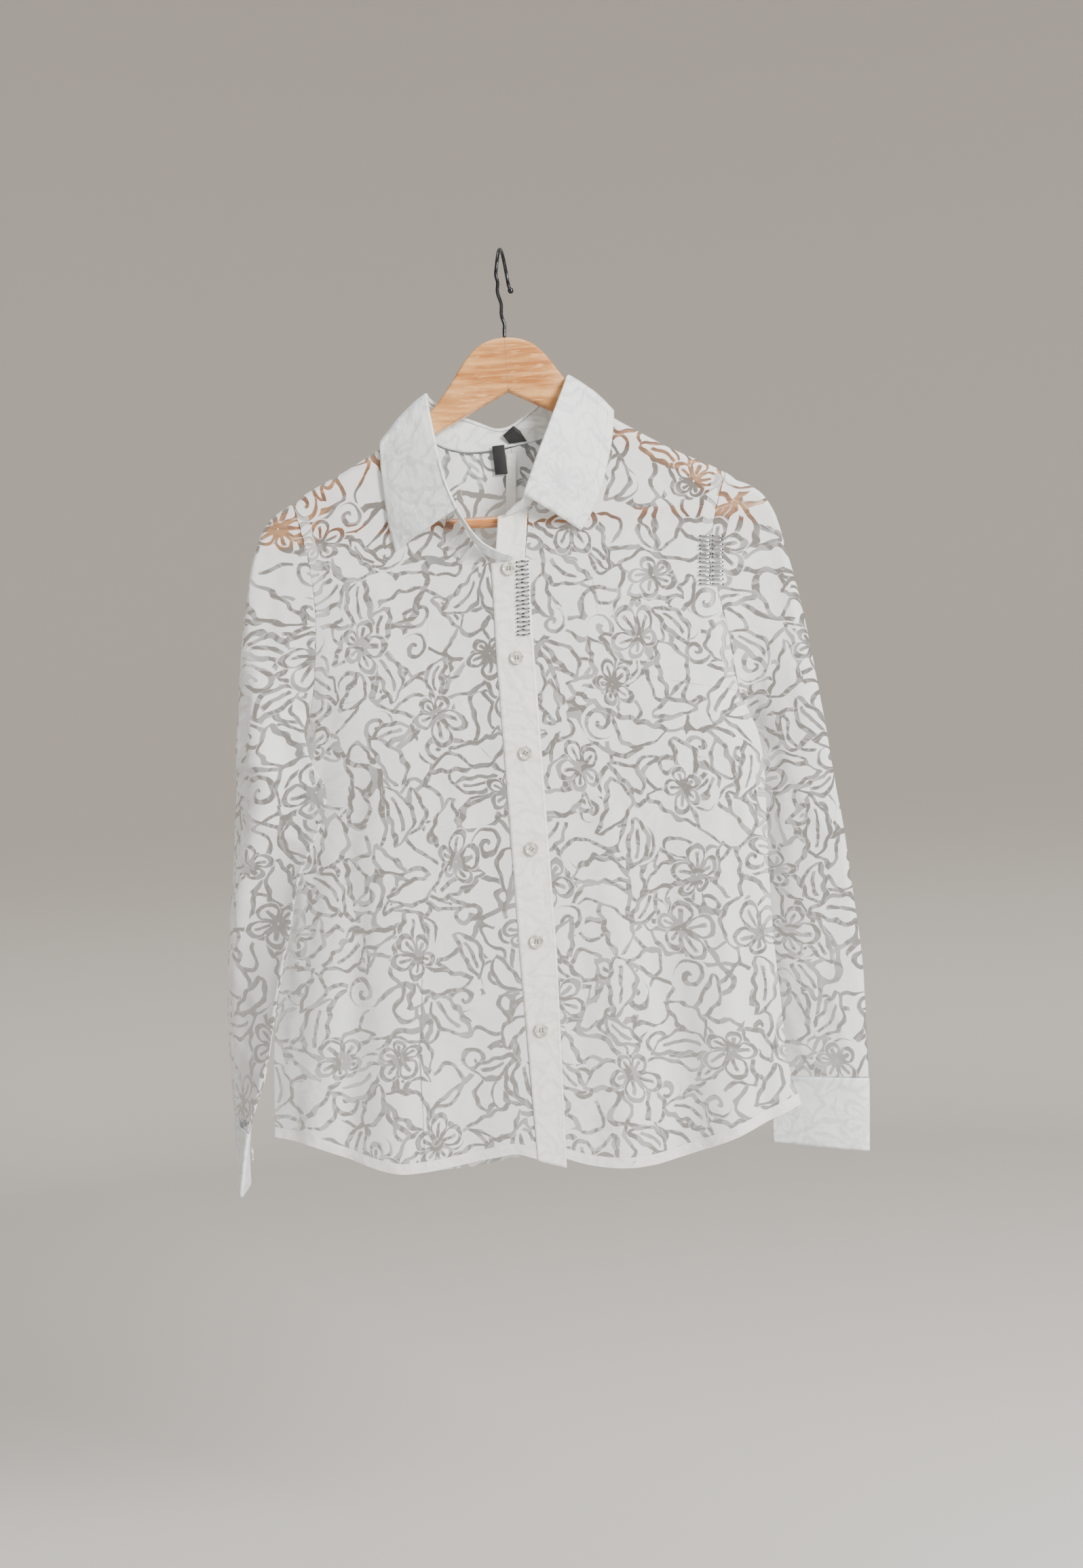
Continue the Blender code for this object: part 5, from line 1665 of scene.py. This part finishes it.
def tube_creased(grid, rows, seed, crumple):
    """A tube's grid with creases, each standing out on the side that faces front or back."""
    ahead = np.roll(grid[:, :-1], -1, axis=1) - np.roll(grid[:, :-1], 1, axis=1)
    across = np.concatenate([ahead, ahead[:, :1]], axis=1)
    normal = unit(np.cross(across, np.gradient(grid, axis=0)))
    middle = grid.mean(axis=1, keepdims=True)
    if np.mean(np.sum(normal * (grid - middle), axis=2)) < 0:
        normal = -normal
    made = grid.copy()
    count = grid.shape[0]
    for r in range(count):
        calm = smooth_step(r / (count * 0.09)) * smooth_step((count - 1 - r) / (count * 0.03))
        for c in range(grid.shape[1] - 1):
            x, y, z = grid[r, c]
            facing = 1.0 if normal[r, c, 1] < 0 else -1.0
            broad = 0.8 * soft_noise(x + y, z * 0.7, 24, seed)
            lift = crumple * (broad + 0.4 * soft_noise(x * 1.4, z + y, 10, seed + 9))
            for row in rows:
                lift += crease(x, z, row) * CREASE_LIFT * (1.0 if facing > 0 else 0.6)
            made[r, c] += normal[r, c] * lift * calm
        made[r, -1] = made[r, 0]
    return made


def plackets(finish):
    made = {}
    rows = (("placket_over", True, 7, (51, 3)), ("placket_under", False, 8, (55, 3)))
    for node, over, seed, shift in rows:
        smooth = fine(placket_grid(over), 200, 17)
        smooth = creased(smooth, (), seed, 0.3, reach=(4, 4))
        piece = sheet_mesh(f"{node}_cloth", smooth, flat_uv(smooth, shift), finish, thick=1.3)
        made[node] = (show(piece, "placket_cloth", node), smooth)
    return made


def collar(finish):
    stand = fine(stand_grid(), 13, 221)
    fall = fine(fall_grid(), 57, 175)
    fall = fall_wrinkled(fall)
    made = {}
    for node, grid, shift in (("collar_stand", stand, (61, 2)), ("collar_fall", fall, (65, 2))):
        around = np.concatenate([[0], np.cumsum(np.linalg.norm(np.diff(grid[0], axis=0), axis=1))])
        steps = np.linalg.norm(np.diff(grid, axis=0), axis=2)
        down = np.concatenate([np.zeros((1, grid.shape[1])), np.cumsum(steps, axis=0)])
        uv = np.stack([np.broadcast_to(around, down.shape), -down], axis=2) * MM + np.array(shift)
        piece = sheet_mesh(f"{node}_cloth", grid, uv, finish, thick=1.3)
        made[node] = (show(piece, "crisp_cloth", node), grid)
    return made


def fall_wrinkled(grid):
    """Soft uneven wrinkles in the crisp cloth of the wings, and none at the fold."""
    normal = grid_normals(grid)
    made = grid.copy()
    rows = grid.shape[0]
    for r in range(rows):
        calm = smooth_step((r / (rows - 1) - 0.3) / 0.3)
        for c in range(grid.shape[1]):
            x, y, z = grid[r, c]
            value = (
                0.9 * soft_noise(x + 0.4 * z, z * 0.7 - y, 17, 11)
                + 0.45 * soft_noise(x, z + y, 8, 12)
            )
            made[r, c] += normal[r, c] * value * calm * 1.1
    return made


def hems(made, finish):
    """Narrow turned hems with small puckers, just inside each panel's lower edge."""
    for node in ("front_right", "front_left", "back_right", "back_left"):
        side = -1 if node.startswith("front") else 1
        _, grid = made[node]
        edge = grid[-1]
        lines = []
        for s in np.linspace(0, HEM_WIDTH, 6):
            row = edge.copy()
            row[:, 2] += s
            upper = grid[-8:]
            for c in range(row.shape[0]):
                row[c, 1] = np.interp(row[c, 2], upper[::-1, c, 2], upper[::-1, c, 1])
                row[c, 0] = np.interp(row[c, 2], upper[::-1, c, 2], upper[::-1, c, 0])
                pucker = (
                    0.45 * soft_noise(row[c, 0], s, 3.6, 17)
                    + 0.3 * soft_noise(row[c, 0], s, 9, 19)
                )
                row[c, 1] += side * (0.35 + pucker * math.sin(math.pi * min(s / HEM_WIDTH, 1)))
            lines.append(row)
        strip = np.array(lines)
        piece = sheet_mesh(f"hem_{node}", strip, flat_uv(strip, (71, 1)), finish)
        yield node, show(piece, "crisp_cloth")


def allowances(finish):
    """Bound seam allowances at the armholes, on the body's side, seen through the cloth."""
    for side, armhole, sign in (("right", ARMHOLE_RIGHT, 1), ("left", ARMHOLE_LEFT, -1)):
        for back in (False, True):
            rows = []
            for t in np.linspace(0.015, 0.985, 60):
                x, z = path_at(armhole, t)[0]
                row = []
                for s in np.linspace(0, 1, 4):
                    px = x + sign * (0.6 + ALLOWANCE * s)
                    y = body_y(px, z, back)
                    inward = ALLOWANCE_IN if back else -ALLOWANCE_IN
                    row.append((px, y - inward, z))
                rows.append(row)
            strip = np.array(rows)
            node = f"{'back' if back else 'front'}_{side}"
            piece = sheet_mesh(f"allowance_{node}", strip, flat_uv(strip, (75, 1)), finish)
            yield node, show(piece, "crisp_cloth")


def side_seams(finish):
    """Joined seam allowances down the body's sides."""
    for side, rows, sign in (("right", SIDE_RIGHT, 1), ("left", SIDE_LEFT, -1)):
        grid = []
        for t in np.linspace(0.02, 0.99, 60):
            x, z = path_at(rows, t)[0]
            row = []
            for s in np.linspace(0, 1, 4):
                px = x + sign * (0.8 + 7.0 * s)
                front, back = body_y(px, z, False), body_y(px, z, True)
                row.append((px, front + (back - front) * (0.35 + 0.1 * s), z))
            grid.append(row)
        strip = np.array(grid)
        piece = sheet_mesh(f"side_seam_{side}", strip, flat_uv(strip, (79, 1)), finish)
        yield f"back_{side}", show(piece, "crisp_cloth")


def inner_trim(finish, satin):
    """The pressed seam down the back and the two bare labels."""
    strip = fine(back_seam_grid(), 160, 7)
    piece = sheet_mesh("back_seam_cloth", strip, flat_uv(strip, (83, 1)), finish, thick=0.6)
    yield "back_right", show(piece, "crisp_cloth", "back_seam")
    labels = (
        ("label_long", LABEL_LONG[:2], LABEL_LONG[:1:-1], LABEL_LONG_Y),
        ("label_folded", LABEL_FOLDED[:3], LABEL_FOLDED[:2:-1], LABEL_FOLDED_Y),
    )
    for node, top, bottom, y in labels:
        rows = []
        upper, lower = (path_at_corners(points, 21) for points in (top, bottom))
        for s in np.linspace(0, 1, 25):
            row = upper * (1 - s) + lower * s
            curl = 0.35 * np.sin(np.linspace(0, math.pi, 21)) * (0.4 + s) + 0.25 * math.sin(s * 5)
            rows.append(np.stack([row[:, 0], y - curl, row[:, 1]], axis=1))
        grid = np.array(rows)
        piece = sheet_mesh(f"{node}_ribbon", grid, flat_uv(grid, (87, 1)), satin, thick=0.5)
        yield "back_left", show(piece, "black_label", node)


def path_at_corners(points, count):
    """Evenly counted places on a line with corners."""
    spots = np.linspace(0, len(points) - 1, count)
    table = np.array(points, float)
    return np.stack([np.interp(spots, np.arange(len(points)), table[:, k]) for k in (0, 1)], axis=1)


def top_stitching(made, finish):
    """Rows of stitches on the over-placket, the collar and the cuffs."""
    runs = []
    _, grid = made["placket_over"]
    normal = grid_normals(grid)
    normal *= np.sign(-np.mean(normal[:, :, 1]))
    for col in (1, -2):
        runs += seam_run(grid[2:-2, col] + normal[2:-2, col] * PLACKET_STITCH_OFF)
    _, grid = made["collar_fall"]
    for line in (grid[-5, 4:-4], grid[16:-5, 4], grid[16:-5, -5]):
        sign = np.sign(line[:, 1])[:, None]
        runs += seam_run(line + sign * np.array([0, STITCH_OFF, 0]))
    for side in ("right", "left"):
        _, grid = made[f"cuff_{side}"]
        middle = grid.mean(axis=1, keepdims=True)
        outward = unit(grid - middle)
        for row in (2, -3):
            runs += seam_run(grid[row] + outward[row] * STITCH_OFF)
    piece = bits_mesh("top_stitching", runs, finish)
    show(piece, "crisp_cloth")


def bead_ladder(name, corners, count, out, silver, black):
    """Rungs of bright bugle beads with dark seed beads between, in two columns."""
    top_left, top_right, low_left, low_right = [np.array(p, float) for p in corners]
    bright, dark = [], []
    for n in range(count):
        t = n / (count - 1)
        left = top_left + (low_left - top_left) * t
        right = top_right + (low_right - top_right) * t
        ends = []
        for s in (0.0, 0.44, 0.56, 1.0):
            x, z = left + (right - left) * s
            wave = 0.5 * math.sin(n * 2.3 + s * 5)
            ends.append((x + 0.25 * math.cos(n * 1.7 + s), body_y(x, z, False) - out, z + wave))
        for a, b in ((0, 1), (2, 3)):
            bright.append(rod(ends[a], ends[b], BUGLE_RADIUS, 8))
        for x, y, z in ends:
            dark.append(rod((x - 0.75, y - 0.35, z), (x + 0.75, y - 0.35, z), SEED_RADIUS, 8))
    show(bits_mesh(f"{name}_bugles", bright, silver), "dark_steel")
    show(bits_mesh(f"{name}_seeds", dark, black), "dark_steel")


def buttons(pearl, thread, dark):
    threads, hole_shades = [], []
    for number, (x, z, turn) in enumerate(BUTTONS, 1):
        low, high = z - BUTTON_RADIUS, z + BUTTON_RADIUS
        facing = (0, low - high, body_y(x, high, False) - body_y(x, low, False))
        place = front_point(x, z, PLACKET_OUT + DOUBLE / 2 + GAP - BUTTON_BACK + BUTTON_STANDS_OFF)
        piece = detailed_button(f"button_{number}_disc", place, turn, facing, pearl)
        show(piece, "pearly_button", f"button_{number}")
        own_threads, own_hole_shades = thread_pairs(place, turn, facing)
        threads += own_threads
        hole_shades += own_hole_shades
    cuffs = (
        ("right", CUFF_RIGHT, CUFF_BUTTON_SHARE_RIGHT),
        ("left", CUFF_LEFT, CUFF_BUTTON_SHARE_LEFT),
    )
    for side, table, share in cuffs:
        sign = -1 if side == "right" else 1
        middle = np.mean([np.array(row[:6], float) for row in table[1:3]], axis=0)
        chord = middle[:3] - middle[3:]
        to_back = unit(np.cross(chord, (0, 0, -1)) * sign)
        out = ring_depth(table[1], share, np.linalg.norm(chord)) + DOUBLE / 2 + GAP - BUTTON_BACK
        place = middle[:3] - chord * share + to_back * (out + CUFF_BUTTON_STANDS_OFF)
        piece = detailed_button(f"cuff_button_{side}_disc", place, 0, to_back, pearl)
        show(piece, "pearly_button", f"cuff_button_{side}")
        own_threads, own_hole_shades = thread_pairs(place, 0, to_back)
        threads += own_threads
        hole_shades += own_hole_shades
    show(bits_mesh("button_threads", threads, thread), "crisp_cloth")
    # The holes are painted shade: dark dots of black glass in the button's face
    show(bits_mesh("button_hole_shades", hole_shades, dark), "dark_steel")


def smooth_arm(name, side, finish):
    """One half of the wooden hanger at finer resolution, with rounder edges."""
    places = np.concatenate(
        [
            np.linspace(0.15, 90, 46),
            np.linspace(94, 171.8, 24),
            [172.0],
            np.linspace(174, WOOD_TIP_X, 22),
        ],
    )
    line = np.array([(p.x, p.z) for p in SHOULDER_LINE], float)
    curve = path_at(line, np.linspace(0, 1, 400))
    points, faces = [], []
    for x in places:
        tip = smooth_step((x - TIP_ROOM_FROM) / (TIP_ROOM_TO - TIP_ROOM_FROM))
        top = np.interp(x, curve[:, 0], curve[:, 1]) - WOOD_UNDER_CLOTH - TIP_ROOM * tip
        low = np.interp(x, [p.x for p in WOOD_UNDERSIDE], [p.z for p in WOOD_UNDERSIDE])
        taper = smooth_step((x - WOOD_TAPER_FROM) / (WOOD_TIP_X - WOOD_TAPER_FROM))
        half = WOOD_THICK / 2 * (1 - WOOD_TAPER * taper)
        edge = min(WOOD_EDGE, (top - low) * 0.45, half * 0.7)
        for y_sign, z_sign in ((1, 1), (1, -1), (-1, -1), (-1, 1)):
            for degrees in (0, 15, 30, 45, 60, 75, 90):
                angle = math.radians(degrees if y_sign * z_sign < 0 else 90 - degrees)
                y = y_sign * (half - edge + edge * math.cos(angle))
                corner = top - edge if z_sign > 0 else low + edge
                points.append((side * x, y, corner + z_sign * edge * math.sin(angle)))
    size = 28
    for n in range(len(places) - 1):
        for k in range(size):
            a, b = n * size + k, n * size + (k + 1) % size
            faces.append((a, b, b + size, a + size))
    faces.append(tuple(range(size))[::-1])
    faces.append(tuple(range(len(points) - size, len(points))))
    if side < 0:
        faces = [face[::-1] for face in faces]
    made = bits_mesh(name, [(points, faces)], finish)
    made.data.set_sharp_from_angle(angle=math.radians(40))
    return made


def hook_wire():
    """The hook's wire, a little uneven, from the wood over the crest to its ball."""
    reach = HOOK_RADIUS + HOOK_WIRE / 2
    foot = Wire(0, 0, SHOULDER_LINE[0].z - WOOD_UNDER_CLOTH + GAP)
    arc = []
    for degrees in range(HOOK_LEANS[0].degrees, HOOK_LEANS[-1].degrees - 1, -HOOK_ARC_STEP):
        angle = math.radians(degrees)
        lean = np.interp(
            -degrees, [-row.degrees for row in HOOK_LEANS], [row.x for row in HOOK_LEANS]
        )
        crest = HOOK_WIRE / 2 - reach
        arc.append(Wire(lean, reach * math.cos(angle), crest + reach * math.sin(angle)))
    line = path_at([foot] + HOOK_STEM + arc, np.linspace(0, 1, 160))
    height = line[:, 2]
    low = smooth_step((HOOK_WAVE_TOP - height) / 14) * smooth_step((height - HOOK_WAVE_FOOT) / 10)
    line[:, 0] += HOOK_WAVE * np.sin(height / HOOK_WAVE_LENGTH * 2 * math.pi) * low
    heading = unit(line[-1] - line[-2])
    ball = [line[-1] + heading * (HOOK_BALL_AT + row.along) for row in HOOK_BALL]
    centres = np.array([line[0]] + list(line[:-1]) + ball)
    radii = (
        [0.01] + [HOOK_WIRE / 2] * (len(line) - 1)
        + [max(row.radius, 0.01) for row in HOOK_BALL]
    )
    along = unit(np.gradient(centres, axis=0))
    across = unit(np.cross(along, (1.0, 0.0, 0.001)))
    other = np.cross(along, across)
    points, faces = [], []
    for n in range(len(centres)):
        for k in range(HOOK_SIDES):
            angle = 2 * math.pi * k / HOOK_SIDES
            turn = across[n] * math.cos(angle) + other[n] * math.sin(angle)
            points.append(centres[n] + turn * radii[n])
    for n in range(len(centres) - 1):
        for k in range(HOOK_SIDES):
            a, b = n * HOOK_SIDES + k, n * HOOK_SIDES + (k + 1) % HOOK_SIDES
            faces.append((a, a + HOOK_SIDES, b + HOOK_SIDES, b))
    return points, faces


def hanger(wood, bar, steel, nodes):
    for side, sign in (("right", -1), ("left", 1)):
        show(smooth_arm(f"wood_arm_{side}", sign, wood), "pale_wood", f"hanger_arm_{side}")
    nodes["hanger_bar"].data.materials[0] = bar
    show(bits_mesh("hook_wire", [hook_wire()], steel), "dark_steel", "hanger_hook")


def light(name, place, aim, size, power, tint):
    data = bpy.data.lights.new(name, "AREA")
    data.shape = "RECTANGLE"
    data.size, data.size_y = size
    data.energy = power
    data.color = tint
    made = bpy.data.objects.new(name, data)
    made.location = place
    direction = Vector(aim) - Vector(place)
    made.rotation_euler = direction.to_track_quat("-Z", "Y").to_euler()
    bpy.context.scene.collection.objects.link(made)


def backdrop_finish(name, floor_tint, wall_tint):
    """Matte paint, pale on the floor and deeper up the wall, with a faint roller texture."""
    made, tree, shader = new_finish(name)
    place = add(tree, "TexCoord", out="Object")
    height = add(tree, "SeparateXYZ", place, out=2)
    share = add(tree, "MapRange SMOOTHSTEP", height, FLOOR_Z + 0.02, FLOOR_Z + 0.75, 0.0, 1.0)
    tree.links.new(add(tree, "Mix RGBA", share, floor_tint, wall_tint), shader.inputs["Base Color"])
    bump = add(
        tree, "Bump", Strength=0.05, Distance=PAINT_DEPTH,
        Height=add(tree, "TexNoise", place, Scale=300.0, Detail=2.0, Roughness=0.5),
    )
    tree.links.new(bump, shader.inputs["Normal"])
    shader.inputs["Roughness"].default_value = 0.9
    return made


def studio():
    """A round bowl of a backdrop with a pale floor, soft lights and an even sky."""
    profile = []
    for n in range(20):
        profile.append((BOWL_RADIUS * n / 19 * BOWL_FLAT, FLOOR_Z))
    for n in range(1, 25):
        angle = math.radians(90 * n / 24)
        flat_reach, round_reach = BOWL_RADIUS * BOWL_FLAT, BOWL_RADIUS * (1 - BOWL_FLAT)
        profile.append(
            (
                flat_reach + round_reach * math.sin(angle),
                FLOOR_Z + round_reach * (1 - math.cos(angle)),
            ),
        )
    profile.append((BOWL_RADIUS, FLOOR_Z + BOWL_RIM))
    points, faces = [(0.0, 0.0, FLOOR_Z)], []
    sides = BOWL_SIDES
    for radius, z in profile[1:]:
        for k in range(sides):
            angle = 2 * math.pi * k / sides
            points.append((radius * math.cos(angle), radius * math.sin(angle), z))
    for k in range(sides):
        faces.append((0, 1 + k, 1 + (k + 1) % sides))
    for n in range(len(profile) - 2):
        for k in range(sides):
            a, b = 1 + n * sides + k, 1 + n * sides + (k + 1) % sides
            faces.append((a, a + sides, b + sides, b))
    mesh = bpy.data.meshes.new("bowl")
    mesh.from_pydata(points, [], faces)
    mesh.materials.append(backdrop_finish("matte paint", FLOOR_TINT, WALL_TINT))
    mesh.shade_smooth()
    bowl = bpy.data.objects.new("bowl", mesh)
    bpy.context.scene.collection.objects.link(bowl)
    bowl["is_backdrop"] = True
    world = bpy.data.worlds.new("even sky")
    world.use_nodes = True
    world.node_tree.nodes["Background"].inputs["Color"].default_value = (1.0, 0.985, 0.97, 1)
    world.node_tree.nodes["Background"].inputs["Strength"].default_value = SKY
    bpy.context.scene.world = world
    for row in LIGHTS:
        light(*row)


def camera():
    data = bpy.data.cameras.new("camera")
    data.lens = LENS
    data.sensor_width = 36
    made = bpy.data.objects.new("camera", data)
    roll = math.radians(PHOTO_TURN)
    right = Vector((math.cos(roll), 0, -math.sin(roll)))
    up = Vector((math.sin(roll), 0, math.cos(roll)))
    back = right.cross(up)
    turn_matrix = Matrix((right, up, back)).transposed().to_4x4()
    made.matrix_world = Matrix.Translation(CAMERA_AT) @ turn_matrix
    bpy.context.scene.collection.objects.link(made)
    bpy.context.scene.camera = made


def build_scene():
    # The cloth: single, laid double, and turned at an edge, which reads as a plain pale strip
    # The single cloth's dark grey line tint is partly painted shade of the shirt's dim inside
    sheer = sheer_finish("burnout organza", "E8EAEB", "706E6D", 0.86, 0.3)
    crisp = crisp_finish("doubled crisp organza", "E3E8E8", "C3CBCD", 0.6)
    band = crisp_finish("doubled placket organza", "EBEAE5", "D3D5CC", 0.5)
    narrow = crisp_finish("turned organza hem", "E8E8E4", "D8D8D4", 0.3, 0.96)
    # Silvered glass gives bright glints, and black glass dark dots with a sharp one each
    silver = plain_finish("silvered glass bead", "C9CCCF", "8F9498", 0.15, 0.9, 2500.0)
    black = plain_finish("black glass bead", "101113", "2A2C30", 0.12, 0.0, 2500.0)
    # Pearly buttons are a cloudy warm white and glossy, and matt thread is a fine pale line
    pearl = plain_finish("pearly button", "DEDBD2", "ABA79C", 0.1, 0.0, 260.0)
    thread = plain_finish("cotton thread", "E2E1DB", "CFCEC8", 0.6, 0.0, 3000.0)
    # The arms are a pale orange wood, and the bar is redder and glossier
    wood = wood_finish("varnished pale wood", "DA9F62", "A9692F", "F0C489", 0.36, 0.4)
    bar = wood_finish("glossy stained bar", "BD7B42", "96592A", "D09050", 0.2, 0.7)
    # The wire is a dark line with a thin grey highlight, and the satin nearly black
    steel = plain_finish("dark gunmetal", "4A4B50", "2E2F33", 0.25, 1.0, 900.0)
    satin = plain_finish("black satin ribbon", "101012", "1D1D20", 0.45, 0.0, 1800.0, 0.3)
    made = panels(sheer)
    trims = [
        *hems(made, narrow),
        *allowances(narrow),
        *side_seams(narrow),
        *inner_trim(narrow, satin),
    ]
    made.update(sleeves(sheer, crisp))
    made.update(plackets(band))
    made.update(collar(crisp))
    top_stitching(made, thread)
    on_placket, on_panel = PLACKET_OUT + DOUBLE / 2 + BEADS_OFF, SINGLE / 2 + BEADS_OFF
    bead_ladder("placket_beads", BEADS_PLACKET, 18, on_placket, silver, black)
    bead_ladder("shoulder_beads", BEADS_SHOULDER, 12, on_panel, silver, black)
    # Thread in the dish of a button lies in the shade and is greyer
    shaded = plain_finish("shaded cotton thread", "8C8880", "77736C", 0.7, 0.0, 3000.0)
    # The buttons' holes are painted shade, as dark dots of black glass
    buttons(pearl, shaded, black)
    hanger(wood, bar, steel, frame["nodes"])
    studio()
    camera()


def write_sizes(before, after):
    rows = [[[float(v) for v in corner] for corner in box] for box in (before, after)]


cad_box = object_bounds()
build_scene()
write_sizes(cad_box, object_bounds())
